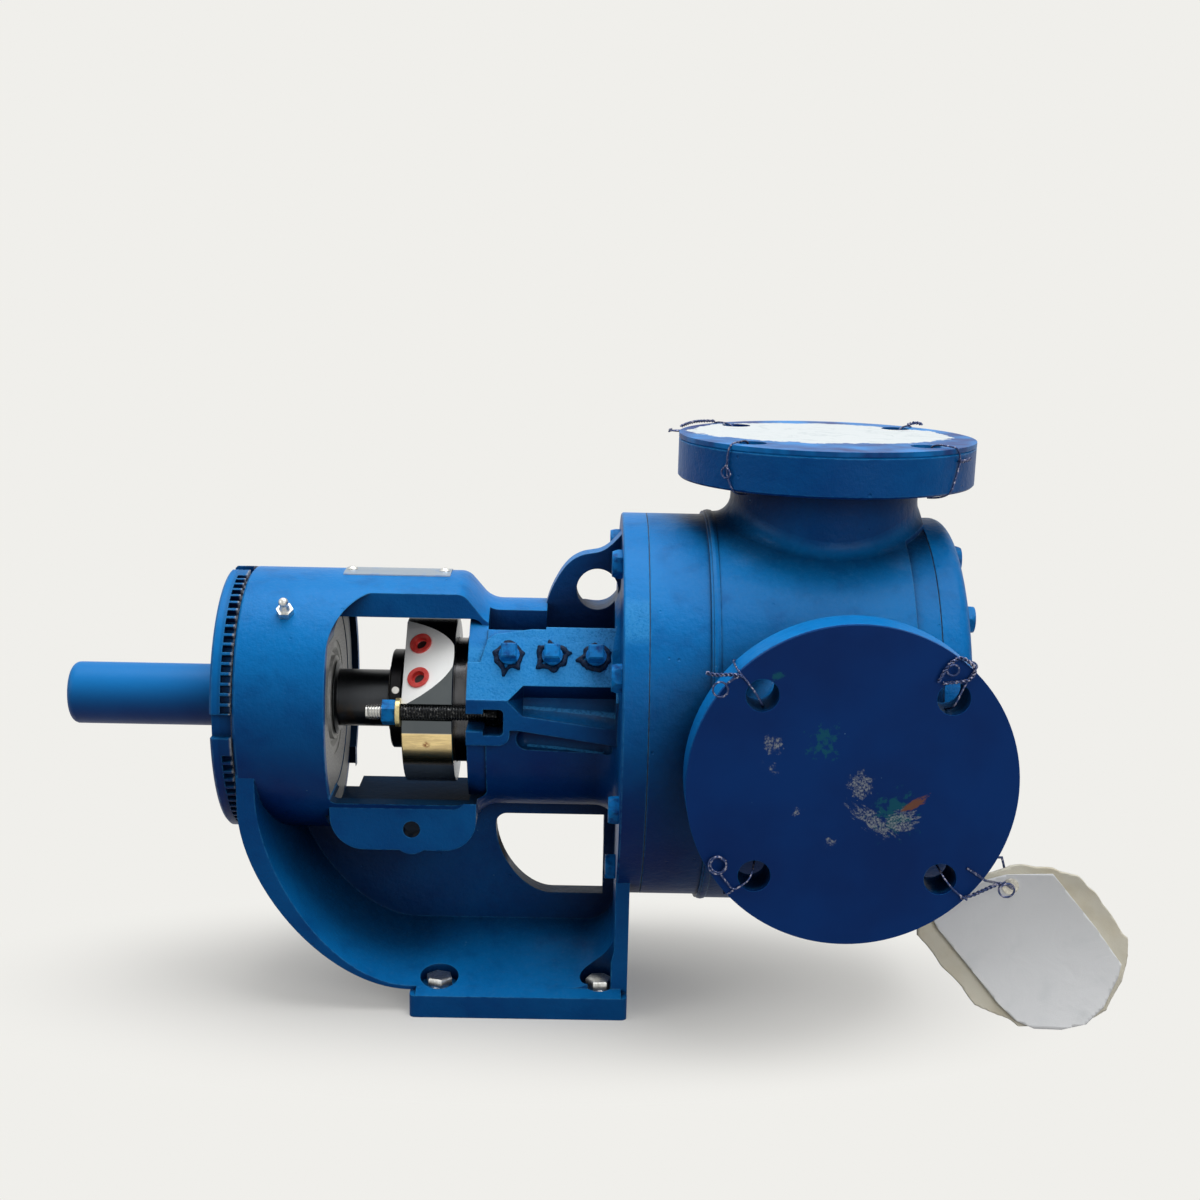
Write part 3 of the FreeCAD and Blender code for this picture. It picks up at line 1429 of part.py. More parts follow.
def make_grease_fitting():
    foot = -end_radius
    stem = rod_y(grease_stem_radius, foot - 0.5, foot + grease_stem_depth, 0, 0)
    across = grease_nut_across / math.sqrt(3)
    points = [Vector(across * math.cos(math.radians(60 * i)), foot, across * math.sin(math.radians(60 * i)))
              for i in range(6)]
    nut = Part.Face(Part.makePolygon(points + [points[0]])).extrude(Vector(0, -4.5, 0))
    neck = Part.makeCone(3.6, 2.2, 4.5, Vector(0, foot - 4.4, 0), Vector(0, -1, 0))
    tip = Part.makeSphere(3.1, Vector(0, foot - 10.6, 0))
    body = stem.fuse([nut, neck, tip])
    body.translate(Vector(grease_x, 0, 0))
    return spun(body, -grease_angle)


def make_nameplate():
    top = end_radius + plate_thickness
    plate = tube_x(end_radius, top, plate_left_x, plate_right_x)
    plate = plate.common(block(plate_left_x - 1, plate_right_x + 1, -plate_half_width, plate_half_width, 0, top + 1))
    return plate.cut([rod_z(rivet_radius, end_radius - 5, top + 5, x, 0) for x in rivet_places])


def make_nameplate_screws():
    screws = []
    top = end_radius + plate_thickness
    for x in rivet_places:
        ball = Part.makeSphere(4.0, Vector(x, 0, end_radius - 1.0))
        head = ball.common(block(x - 5, x + 5, -5, 5, top, top + 5))
        screws.append(rod_z(rivet_radius, end_radius + 0.2, top + 0.4, x, 0).fuse(head))
    return screws


def make_bushing():
    return tube_x(journal_radius + running, bushing_radius, bushing_start_x, spigot_length - 0.5)


def make_idler_bushing():
    iy, iz = idler_axis()
    body = rod_x(idler_bore_radius, idler_start_x, gear_end_x, iy, iz)
    return body.cut(rod_x(pin_radius + running, idler_start_x - 1, gear_end_x + 1, iy, iz))


def make_idler_pin():
    iy, iz = idler_axis()
    body = rod_x(pin_radius, rotor_face_x + 1, head_face_x + 1.5, iy, iz)
    return body.makeChamfer(1.2, [e for e in body.Edges if isinstance(e.Curve, Part.Circle)])


# Hang tag

def sheet_shape(points, y, thickness):
    """Closed smooth outline in the x-z plane, given thickness away from the viewer."""
    curve = Part.BSplineCurve()
    curve.interpolate([Vector(x, y, z) for x, z in points], PeriodicFlag=True)
    return Part.Face(Part.Wire([curve.toShape()])).extrude(Vector(0, thickness, 0))


def eyelet_rod(radius, y0, y1):
    return rod_y(radius, y0, y1, eyelet_x, eyelet_z)


def make_tag_card():
    outline = [(eyelet_x + x, eyelet_z + z, corner) for x, z, corner in card_outline]
    card = Part.Face(rounded_wire(outline, card_front_y)).extrude(Vector(0, card_thickness, 0))
    return card.cut(eyelet_rod(eyelet_radius, card_front_y - 5, card_front_y + 5))


def make_tag_pouch():
    outline = [(eyelet_x + x, eyelet_z + z) for x, z in pouch_outline]
    pouch = sheet_shape(outline, card_front_y + card_thickness, pouch_thickness)
    return pouch.cut(eyelet_rod(eyelet_radius, card_front_y - 5, card_front_y + 9))


def make_tag_eyelet():
    front = card_front_y
    back = front + card_thickness + pouch_thickness
    body = eyelet_rod(eyelet_radius, front - eyelet_flange, back + eyelet_flange)
    body = body.fuse([eyelet_rod(eyelet_flange_radius, front - eyelet_flange, front),
                      eyelet_rod(eyelet_flange_radius, back, back + eyelet_flange)])
    return body.cut(eyelet_rod(wire_radius + eyelet_gap, front - 5, back + 5))


def make_tag_wire():
    a = math.radians(tag_wire_angle)

    def along(reach, y):
        return Vector(port_x + reach * math.cos(a), y, reach * math.sin(a))

    front = -port_face - cover_thickness - wire_radius
    back = -port_face + port_flange_thickness + wire_radius
    held = port_flange_radius - 12.25
    clear = port_flange_radius + 1.5
    path = [along(held, front), along(clear - 0.25, front), along(port_flange_radius + 8.75, front + 9),
            Vector(eyelet_x - 5, card_front_y - 11, eyelet_z + 5), Vector(eyelet_x, card_front_y - 4, eyelet_z),
            Vector(eyelet_x, card_front_y + 7, eyelet_z), Vector(eyelet_x - 5, card_front_y + 6, eyelet_z + 16),
            Vector(eyelet_x - 18, card_front_y - 2, eyelet_z + 19), along(clear + 0.25, back), along(held, back)]
    start = (path[1] - path[0]).normalize()
    side = start.cross(Vector(0, 1, 0)).normalize()
    corners = []
    for i in range(6):
        turn = math.radians(60 * i)
        corners.append(path[0] + side * (wire_radius * math.cos(turn)) + Vector(0, wire_radius * math.sin(turn), 0))
    pipe = Part.BRepOffsetAPI.MakePipeShell(Part.makePolygon(path))
    pipe.setTransitionMode(1)
    pipe.add(Part.Wire(Part.makePolygon(corners + [corners[0]])))
    pipe.build()
    pipe.makeSolid()
    return pipe.shape()


write_part("bracket", make_bracket())
write_part("casing", make_casing())
write_part("head", make_head())
write_part("bracket_gasket", make_gasket(-gasket_thickness, spigot_radius, flange_bolt_count, flange_bolt_start))
write_part("head_gasket", make_gasket(casing_length, chamber_radius, head_bolt_count, head_bolt_start))
write_part("top_port_cover", make_cover(0))
write_part("side_port_cover", make_cover(1))
write_part("bracket_bolts", ring_of(hex_bolt(bracket_bolt_length, flange_back_x, -1), flange_bolt_count,
                                    flange_bolt_start))
write_part("head_bolts", ring_of(hex_bolt(head_bolt_length, head_face_x - head_spot_depth, 1), head_bolt_count,
                                 head_bolt_start))
write_part("pipe_plugs", make_pipe_plugs())
write_part("grease_fitting", make_grease_fitting())
write_part("nameplate", make_nameplate())
write_part("nameplate_screws", make_nameplate_screws())
write_part("bracket_bushing", make_bushing())
write_part("idler_pin", make_idler_pin())
write_part("idler", make_idler())
write_part("idler_bushing", make_idler_bushing())
write_part("rotor", make_rotor())
write_part("shaft", make_shaft())
write_part("bearing_housing", make_bearing_housing())
write_part("housing_screws", make_housing_screws())
write_part("end_cap", make_end_cap())
write_part("outer_lip_seal", make_outer_lip_seal())
write_part("inner_lip_seal", make_inner_lip_seal())
write_part("bearing_cups", bearing_rings(cup_radius, 1))
write_part("bearing_cones", bearing_rings(seat_radius, -1))
write_part("bearing_rollers", make_rollers())
write_part("bearing_cages", make_cages())
write_part("outer_spacer", make_spacer(cup_radius - spacer_height, cup_radius))
write_part("inner_spacer", make_spacer(seat_radius, seat_radius + inner_spacer_height))
write_part("spacer_collar", make_spacer_collar())
write_part("half_rings", make_half_rings())
write_part("slinger", make_slinger())
write_part("locknut", make_locknut())
write_part("lockwasher", make_lockwasher())
write_part("seal_gland", make_gland())
write_part("seal_plugs", make_seal_plugs())
write_part("drive_collar", make_drive_collar())
write_part("collar_screws", make_collar_screws())
write_part("seal_sleeve", make_seal_sleeve())
write_part("fixed_seal_face", make_fixed_face())
write_part("turning_seal_face", make_turning_face())
write_part("seal_bellows", make_bellows())
write_part("bellows_holder", make_bellows_holder())
write_part("adapter_ring", make_adapter_ring())
write_part("gland_bolts", make_gland_bolts())
write_part("gland_nuts", make_gland_nuts())
write_part("gland_washers", make_gland_washers())
write_part("tag_card", make_tag_card())
write_part("tag_pouch", make_tag_pouch())
write_part("tag_eyelet", make_tag_eyelet())
write_part("tag_wire", make_tag_wire())
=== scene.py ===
"""Finishes, small pieces, studio and camera of an internal gear pump, laid over its fixed frame."""

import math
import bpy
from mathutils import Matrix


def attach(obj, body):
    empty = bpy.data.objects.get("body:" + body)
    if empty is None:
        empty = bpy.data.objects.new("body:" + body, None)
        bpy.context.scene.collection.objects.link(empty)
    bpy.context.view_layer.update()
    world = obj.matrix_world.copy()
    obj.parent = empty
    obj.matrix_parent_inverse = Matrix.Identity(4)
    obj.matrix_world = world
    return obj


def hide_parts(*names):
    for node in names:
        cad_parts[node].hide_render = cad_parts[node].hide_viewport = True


bl_info = {
    "name": "Internal Gear Pump Finish",
    "version": (1, 0, 0),
    "blender": (4, 5, 0),
    "location": "3D View > Sidebar > Gear Pump",
    "description": "Paints the gear pump and adds its tie wires, studs, sealant, tag and studio",
    "category": "Object",
}

import bmesh
import bpy
from bpy.props import FloatProperty, FloatVectorProperty, PointerProperty
from mathutils import Matrix, Vector, noise

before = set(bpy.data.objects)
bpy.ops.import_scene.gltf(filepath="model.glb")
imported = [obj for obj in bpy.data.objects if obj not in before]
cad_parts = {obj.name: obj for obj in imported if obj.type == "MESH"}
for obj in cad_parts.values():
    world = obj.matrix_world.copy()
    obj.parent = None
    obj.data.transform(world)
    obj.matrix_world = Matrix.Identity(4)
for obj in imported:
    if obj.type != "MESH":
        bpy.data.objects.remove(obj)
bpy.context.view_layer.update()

MM = 0.001
ROOT = "pump_body"
TAG = "hang_tag"

# Places on the pump in metres, in the foot frame
AXIS_HEIGHT = 190.5 * MM
PORT_X = 192.5 * MM
PORT_FACE = 181.0 * MM
BEARING_WALL_X = -127.0 * MM
WALL_RADIUS = 80.0 * MM
PAD_TILT = math.radians(38.0)
PAD_DISTANCE = 72.0 * MM
PLUG_PLACES_X = (-8.9 * MM, 18.4 * MM, 46.1 * MM)
FOOT_SEAT_Z = 15.0 * MM
FOOT_BOLT_X = 52.4 * MM
FOOT_BOLT_Y = 69.85 * MM
STUD_Y = -55.0 * MM
STUD_Z = 5.25 * MM
STUD_RADIUS = 4.7 * MM
STUD_START_X = -100.0 * MM
STUD_END_X = -22.8 * MM
STUD_HEAD_X = -15.5 * MM
STUD_HEX = 13.6 * MM
WASHER_FACE = 0.8 * MM
SEAL_PLUG_X = -67.09 * MM
SEAL_PLUGS = ((-22.19 * MM, 41.69 * MM), (-40.89 * MM, 23.63 * MM))
PLUG_AXIS = (-0.3058, -0.6614, 0.6849)
CAMERA_PLACE = (0.0345, -1.0942, 0.4830)
CAMERA_SHIFT = 0.0833


def colour(name, value, note):
    return FloatVectorProperty(name=name, description=note, subtype="COLOR", size=4, min=0.0, max=1.0,
                               default=value + (1.0,))


def length(name, value, note):
    return FloatProperty(name=name, description=note, default=value, min=0.0, unit="LENGTH", precision=5)


class PumpSizes(bpy.types.PropertyGroup):
    """Sizes of the pieces that lie over the frame."""

    bolt_across: length("Hold-down bolt size", 15.5 * MM, "Width across the flats of a foot bolt head")
    bolt_head: length("Hold-down head height", 6.0 * MM, "Height of a foot bolt head")
    bolt_shank: length("Hold-down shank", 5.8 * MM, "Radius of a foot bolt shank")
    thread_pitch: length("Thread pitch", 1.75 * MM, "Pitch of the gland stud thread")
    thread_depth: length("Thread depth", 0.75 * MM, "Depth of the gland stud thread")
    wire: length("Tie wire radius", 0.6 * MM, "Radius of one strand of tie wire")
    twist: length("Tie wire twist", 5.0 * MM, "Length of one full turn of a twisted pair")
    sealant: length("Sealant bead", 2.1 * MM, "Radius of the sealant bead under a pipe plug")
    card: length("Card thickness", 0.5 * MM, "Thickness of the tag card")
    paint_grain: length("Paint grain", 2.3 * MM, "Size of the orange peel in the cast paint")
    camera_lens: FloatProperty(name="Camera lens", description="Focal length of the camera in millimetres",
                               default=50.55, min=10.0, max=200.0)


class PumpColours(bpy.types.PropertyGroup):
    """Colours of the finishes."""

    # Lit and shaded copies of one body paint: blue is the paint on faces lit from above, blue_shaded is the
    # same paint as painted shade on sides, undersides and in hollows.
    blue: colour("Blue paint", (0.0042, 0.230, 0.650), "Main body paint, as its upper faces show it")
    blue_shaded: colour("Deep blue paint", (0.0006, 0.024, 0.165), "Thick paint on sides and in hollows")
    # Thinned paint on edges, and also a painted highlight where edges catch the light.
    blue_edge: colour("Edge blue", (0.050, 0.340, 0.740), "Paint that has thinned over edges")
    navy: colour("Cover blue", (0.0010, 0.040, 0.210), "Front shipping cover")
    dust: colour("Dust", (0.200, 0.420, 0.640), "Dust and overspray specks")
    scuff: colour("Scuff", (0.450, 0.490, 0.500), "Scuffed patches on the front cover")
    verdigris: colour("Green rub", (0.010, 0.150, 0.150), "Greenish rub marks on the front cover")
    rust: colour("Rust", (0.260, 0.100, 0.035), "Small rust streaks")
    label: colour("Label", (0.700, 0.745, 0.760), "Blank paper label on the top cover")
    bare_wall: colour("Bare wall", (0.560, 0.565, 0.540), "Unpainted machined face in the window")
    steel: colour("Stainless", (0.700, 0.690, 0.670), "Polished steel of the seal")
    # A painted reflection: the warm band on the polished gland stands in for a reflection of something
    # warm-coloured nearby.
    painted_warm_reflection: colour("Straw tint", (0.900, 0.680, 0.300), "Warm band on the turned gland")
    zinc: colour("Zinc", (0.720, 0.730, 0.710), "Plated fasteners")
    dark_steel: colour("Dark steel", (0.060, 0.064, 0.070), "Oiled shaft steel")
    black: colour("Black oxide", (0.012, 0.012, 0.014), "Blackened steel")
    bronze: colour("Bronze", (0.560, 0.340, 0.130), "Bushing bronze")
    iron: colour("Cast iron", (0.180, 0.180, 0.185), "Machined cast iron")
    rubber: colour("Rubber", (0.018, 0.018, 0.020), "Lip seals and elastomers")
    red: colour("Red plug", (0.620, 0.040, 0.036), "Shipping plugs in the gland")
    plate: colour("Plate", (0.330, 0.400, 0.480), "Blank nameplate")
    card: colour("Card", (0.930, 0.950, 0.970), "Blank tag card")
    pouch: colour("Pouch", (0.920, 0.880, 0.740), "Cream tag pouch")
    sheet: colour("Gasket", (0.050, 0.055, 0.060), "Gasket sheet")
    wire: colour("Tie wire", (0.030, 0.050, 0.140), "Painted tie wire")
    floor: colour("Floor", (0.830, 0.822, 0.795), "Studio floor")
    backdrop: colour("Backdrop", (0.871, 0.863, 0.831), "Studio backdrop")


def sizes():
    return bpy.context.scene.pump_sizes


def colours():
    return bpy.context.scene.pump_colours


# Shader building

class Sock:
    """A shader socket. Used in an expression, it adds the Math nodes that work the expression out."""

    def __init__(self, finish, socket):
        self.finish = finish
        self.socket = socket

    def math(self, operation, *values):
        return self.finish.node("Math", {"operation": operation}, dict(enumerate(values)))

    def __add__(self, other):
        return self.math("ADD", self, other)

    __radd__ = __add__

    def __sub__(self, other):
        return self.math("SUBTRACT", self, other)

    def __rsub__(self, other):
        return self.math("SUBTRACT", other, self)

    def __mul__(self, other):
        return self.math("MULTIPLY", self, other)

    __rmul__ = __mul__

    def __truediv__(self, other):
        return self.math("DIVIDE", self, other)

    def __abs__(self):
        return self.math("ABSOLUTE", self)

    def most(self, other):
        return self.math("MAXIMUM", self, other)

    def least(self, other):
        return self.math("MINIMUM", self, other)

    def sine(self):
        return self.math("SINE", self)

    def root(self):
        return self.math("SQRT", self)


class Finish:
    """One procedural material. Its patterns read the piece's own Object coordinates, in metres."""

    def __init__(self, name, uniform=()):
        self.material = bpy.data.materials.new(name)
        self.material.use_nodes = True
        self.tree = self.material.node_tree
        self.shader = self.tree.nodes["Principled BSDF"]
        self.place = self.node("TexCoord", out="Object")
        self.surface(uniform)

    def node(self, kind, settings=(), sockets=(), out=0):
        """Adds one node: its settings first, then the values or links of its sockets."""
        made = self.tree.nodes.new("ShaderNode" + kind)
        for name, value in dict(settings).items():
            setattr(made, name, value)
        for name, value in dict(sockets).items():
            self.feed(made.inputs[name], value)
        return Sock(self, made.outputs[out])

    def feed(self, socket, value):
        if isinstance(value, Sock):
            self.tree.links.new(value.socket, socket)
        else:
            socket.default_value = value

    def surface(self, sockets):
        for name, value in dict(sockets).items():
            self.feed(self.shader.inputs[name], value)
        return self

    def coat(self, base, rough, normal):
        return self.surface({"Base Color": base, "Roughness": rough, "Normal": normal})

    def noise(self, grain, detail=2.0, rough=0.5, where=None, warp=0.0):
        """Noise whose features are about one grain across."""
        return self.node("TexNoise", sockets={"Vector": where or self.place, "Scale": 1.0 / grain,
                                              "Detail": detail, "Roughness": rough, "Distortion": warp})

    def cells(self, grain, where=None):
        """Distance to the nearest of many scattered points, in grains."""
        return self.node("TexVoronoi", sockets={"Vector": where or self.place, "Scale": 1.0 / grain})

    def rise(self, value, low, high):
        """0 below low, 1 above high, smooth between; low may be the larger."""
        return self.node("MapRange", {"interpolation_type": "SMOOTHSTEP"},
                         {"Value": value, "From Min": low, "From Max": high})

    def mix(self, factor, first, second):
        return self.node("Mix", {"data_type": "RGBA"}, {0: factor, 6: first, 7: second}, out=2)

    def vector(self, operation, first, second=None, out="Vector"):
        sockets = {0: first} if second is None else {0: first, 1: second}
        return self.node("VectorMath", {"operation": operation}, sockets, out=out)

    def axes(self, vector):
        split = self.node("SeparateXYZ", sockets={0: vector}).socket.node
        return [Sock(self, split.outputs[i]) for i in range(3)]

    def painted(self):
        """The colour that already feeds the shader, to be painted over."""
        return Sock(self, self.shader.inputs["Base Color"].links[0].from_socket)

    def normal(self):
        return self.node("NewGeometry", out="Normal")

    def facing(self, direction, low, high):
        """1 where the surface faces that way."""
        return self.rise(self.vector("DOT_PRODUCT", self.normal(), direction, "Value"), low, high)

    def stretched(self, scale, where=None):
        return self.node("Mapping", sockets={"Vector": where or self.place, "Scale": scale})

    def near(self, point, low, high):
        """1 within low of a point, 0 past high."""
        return self.rise(self.vector("DISTANCE", self.place, point, "Value"), high, low)

    def soft_edge(self, radius):
        return self.node("Bevel", {"samples": 4}, {"Radius": radius})

    def shelter(self, reach):
        """1 on open surfaces, falling to 0 deep in the piece's own hollows."""
        return self.node("AmbientOcclusion", {"samples": 6, "only_local": True}, {"Distance": reach},
                         out="AO")

    def bump(self, height, depth, normal=None):
        """Raises the surface by depth, in metres, where height is 1."""
        sockets = {"Height": height, "Distance": depth, "Strength": 1.0}
        if normal:
            sockets["Normal"] = normal
        return self.node("Bump", sockets=sockets)


def edge_mask(f, soft):
    """1 along worn or sharp edges, where the rounded normal leaves the flat one."""
    return f.rise(f.vector("DOT_PRODUCT", soft, f.normal(), "Value"), 0.985, 0.90)


def shade_of(tone, share, lift=0.0):
    """The colour scaled by share and raised by lift, fully opaque."""
    return tuple(min(1.0, share * v + lift) for v in tone[:3]) + (1.0,)


# Paint

def cast_paint(name, grain=None, relief=0.14 * MM, dusty=0.5):
    """Thick blue paint over a sand casting, with orange peel and dust. Its painted light: upper faces lit
    blue, sides and undersides painted shade, hollows near-black, edges partly thinned paint and partly a
    painted highlight.
    """
    f = Finish(name, {"Specular IOR Level": 0.08, "Coat Weight": 0.03, "Coat Roughness": 0.16})
    tones = colours()
    grain = grain or sizes().paint_grain
    soft = f.soft_edge(1.4 * MM)
    edges = edge_mask(f, soft)
    broad = f.noise(70 * MM, 3)
    patches = f.noise(14 * MM, 3)
    peel = f.noise(grain, 2, 0.6)
    sand = f.noise(6.5 * MM, 3, 0.55)
    # Painted light and shade: faces turned up take the lit blue, faces turned down the shaded copy.
    upward = f.facing((0.0, 0.0, 1.0), -0.45, 0.75)
    base = f.mix(upward * 0.8 + f.rise(broad, 0.3, 0.75) * 0.2, tones.blue_shaded, tones.blue)
    base = f.mix(f.rise(patches, 0.45, 0.8) * 0.25, base, tones.blue_shaded)
    # Edges: partly thinned paint, partly a painted highlight along them.
    base = f.mix(edges * f.rise(f.noise(5 * MM, 2), 0.3, 0.6) * 0.65, base, tones.blue_edge)
    # Painted shade: ambient occlusion turns the piece's own hollows near-black.
    base = f.mix(f.rise(f.shelter(90 * MM), 0.88, 0.35) * 0.92, base, (0.0004, 0.004, 0.026, 1.0))
    specks = f.rise(f.cells(9 * MM), 0.06, 0.035) * f.rise(f.noise(24 * MM, 1), 0.58, 0.64)
    dust = f.facing((0.0, -0.2, 0.98), 0.5, 0.98) * f.rise(f.noise(3 * MM, 3), 0.45, 0.8) * 0.10 * dusty
    base = f.mix((specks * 0.5).most(dust), base, tones.dust)
    pocks = f.rise(f.cells(13 * MM), 0.10, 0.04) * f.rise(f.noise(30 * MM, 1), 0.5, 0.6)
    height = peel * 0.55 + sand * 1.1 - pocks * 1.2
    return f.coat(base, 0.34 + patches * 0.12 + specks * 0.3 + dust, f.bump(height, relief * 3, soft))


def bracket_paint():
    """Cast paint, with the unpainted machined wall inside the window and speckled overspray on the pad."""
    f = cast_paint("bracket_paint")
    tones = colours()
    x, y, z = f.axes(f.place)
    lift = z - AXIS_HEIGHT
    radius = (y * y + lift * lift).root()
    wall = f.rise(abs(x - BEARING_WALL_X), 0.9 * MM, 0.5 * MM)
    wall = wall * f.rise(radius, WALL_RADIUS, WALL_RADIUS - 1 * MM) * f.facing((1.0, 0.0, 0.0), 0.8, 0.95)
    pad_normal = (0.0, -math.cos(PAD_TILT), math.sin(PAD_TILT))
    pad = f.facing(pad_normal, 0.990, 0.998) * f.rise(x, -40 * MM, -34 * MM)
    speckle = f.rise(f.noise(1.5 * MM, 2, 0.7), 0.50, 0.60)
    base = f.mix(pad * (0.55 - speckle * 0.35), f.painted(), tones.blue_edge)
    # Painted shade: the inward-facing walls of the hollows and the up-facing floor of the trough under the
    # seal go near-black.
    outward = f.node("CombineXYZ", sockets={"Y": y, "Z": lift})
    away = f.vector("DOT_PRODUCT", f.normal(), outward, "Value")
    hollow = f.rise(away, -8 * MM, -30 * MM) * f.rise(x, 0.0, -10 * MM) * f.rise(x, -130 * MM, -126 * MM)
    hollow = hollow * f.rise(radius, 116 * MM, 106 * MM)
    within = f.rise(x, -16 * MM, -22 * MM) * f.rise(x, -130 * MM, -126 * MM)
    within = within * f.rise(lift, -52 * MM, -56 * MM)
    hollow = hollow.most(within * f.facing((0.0, 0.0, 1.0), 0.6, 0.85) * f.rise(lift, -90 * MM, -86 * MM))
    base = f.mix(hollow * 0.9, base, (0.001, 0.006, 0.016, 1.0))
    streaks = f.noise(9 * MM, 3, where=f.stretched((4.0, 1.0, 0.35)))
    bare = f.mix(f.rise(streaks, 0.35, 0.75), tones.bare_wall, (0.40, 0.39, 0.40, 1.0))
    base = f.mix(wall, base, bare)
    return f.surface({"Base Color": base, "Roughness": 0.40 + wall * 0.1 + hollow * 0.5})


def head_paint():
    """The head keeps a coarse sand skin under its paint."""
    return cast_paint("head_paint", grain=3.4 * MM, relief=0.22 * MM, dusty=0.8)


def ring_paint():
    """Bearing carrier: paint outside, bare turned metal on the face towards the seal."""
    f = cast_paint("carrier_paint", relief=0.05 * MM)
    tones = colours()
    x, y, z = f.axes(f.place)
    inside = f.rise(x, -182 * MM, -180 * MM)
    rings = f.noise(1.2 * MM, 1, where=f.stretched((0.0, 1.0, 1.0)))
    bare = f.mix(f.rise(rings, 0.3, 0.7), tones.bare_wall, (0.31, 0.30, 0.31, 1.0))
    # Painted shade: a darker band just outside the bare face.
    shade = f.rise(x, -189.5 * MM, -187.5 * MM) * f.rise(x, -180.0 * MM, -181.0 * MM) * 0.25
    base = f.mix(shade, f.painted(), (0.001, 0.008, 0.030, 1.0))
    return f.surface({"Base Color": f.mix(inside, base, bare)})


def bolt_paint():
    """Brushed-on paint over bolt heads, with rubbed corners and a blotchy blue tone."""
    f = Finish("bolt_paint", {"Specular IOR Level": 0.1, "Coat Weight": 0.04, "Coat Roughness": 0.2})
    tones = colours()
    soft = f.soft_edge(0.7 * MM)
    edges = edge_mask(f, soft)
    worn = edges * f.rise(f.noise(2.2 * MM, 3), 0.35, 0.62)
    base = f.mix(f.rise(f.noise(6 * MM, 3), 0.2, 0.6), tones.blue_shaded, tones.blue)
    base = f.mix(worn * 0.8, base, tones.blue_edge)
    return f.coat(base, 0.34 + f.noise(4 * MM, 2) * 0.2, f.bump(f.noise(1.6 * MM, 3), 0.16 * MM, soft))


def scuffed_patch(f, point, spread, sharp, seed):
    """Irregular scraped patch about a point on the front cover."""
    ragged = f.noise(5 * MM, 5, 0.65, where=f.vector("ADD", f.place, (seed, 0.0, seed * 0.7)))
    away = f.vector("DISTANCE", f.place, point, "Value")
    return f.rise(ragged - away / spread * 0.26, sharp - 0.03, sharp + 0.09)


def streaked_patch(f, point, along, wide, turn, seed):
    """Scraped streak through a point, turned in the plane of the cover."""
    moved = f.vector("SUBTRACT", f.place, point)
    turned = f.node("VectorRotate", {"rotation_type": "Y_AXIS"}, {"Vector": moved, "Angle": turn})
    x, y, z = f.axes(turned)
    away = ((x / along) * (x / along) + (z / wide) * (z / wide)).root()
    long_grain = f.stretched((0.45, 1.0, 1.4), f.vector("ADD", turned, (seed, 0.0, 0.0)))
    ragged = f.noise(4 * MM, 5, 0.65, where=long_grain)
    return f.rise(ragged - away * 0.26, 0.19, 0.32)


def front_cover_paint():
    """Dark paint on the front shipping cover, scuffed where pallets and hands have rubbed it."""
    f = Finish("front_cover_paint", {"Specular IOR Level": 0.12})
    tones = colours()
    face_y = -PORT_FACE

    def spot(across, up):
        return (PORT_X + across * MM, face_y, AXIS_HEIGHT + up * MM)

    soft = f.soft_edge(0.5 * MM)
    tone = f.mix(f.rise(f.noise(60 * MM, 3), 0.3, 0.75), tones.navy, (0.001, 0.026, 0.150, 1.0))
    # Painted highlight: the cover's edges are lightened to the lit body blue.
    tone = f.mix(edge_mask(f, soft) * 0.6, tone, tones.blue)
    scuffs = streaked_patch(f, spot(12.5, -19.5), 13 * MM, 4.6 * MM, -0.62, 0.31)
    for patch in (scuffed_patch(f, spot(4.5, 2.0), 9 * MM, 0.33, 0.0),
                  scuffed_patch(f, spot(-46.0, 24.5), 7 * MM, 0.36, 0.17),
                  scuffed_patch(f, spot(-47.0, 11.0), 6 * MM, 0.40, 0.53),
                  scuffed_patch(f, spot(-31.0, -15.0), 5 * MM, 0.41, 0.71),
                  streaked_patch(f, spot(30.0, -19.0), 8 * MM, 6 * MM, 0.2, 0.9),
                  scuffed_patch(f, spot(-13.0, -33.0), 6 * MM, 0.40, 0.97)):
        scuffs = scuffs.most(patch)
    specks = f.rise(f.cells(7 * MM), 0.075, 0.05) * f.rise(f.noise(20 * MM, 2), 0.52, 0.6)
    specks = specks * f.near(spot(-8.0, 6.0), 38 * MM, 62 * MM)
    green = scuffed_patch(f, spot(-18.0, 28.0), 14 * MM, 0.40, 1.3).most(
        scuffed_patch(f, spot(24.0, -14.0), 16 * MM, 0.36, 1.7)).most(
        scuffed_patch(f, spot(-46.0, 66.0), 5 * MM, 0.38, 2.1))
    rust = streaked_patch(f, spot(35.0, -9.0), 8 * MM, 2.2 * MM, 0.5, 1.1)
    base = f.mix(green * 0.55, tone, tones.verdigris)
    base = f.mix(scuffs * f.rise(f.noise(1.1 * MM, 4, 0.7), 0.38, 0.66) * 0.8, base, tones.scuff)
    base = f.mix(specks * 0.9, base, tones.dust)
    base = f.mix(rust * 0.8, base, tones.rust)
    height = f.noise(2.6 * MM, 2) * 0.4 - scuffs * 0.5 + f.noise(40 * MM, 2) * 2.0
    return f.coat(base, 0.42 + scuffs * 0.3 + f.noise(18 * MM, 3) * 0.1, f.bump(height, 0.08 * MM, soft))


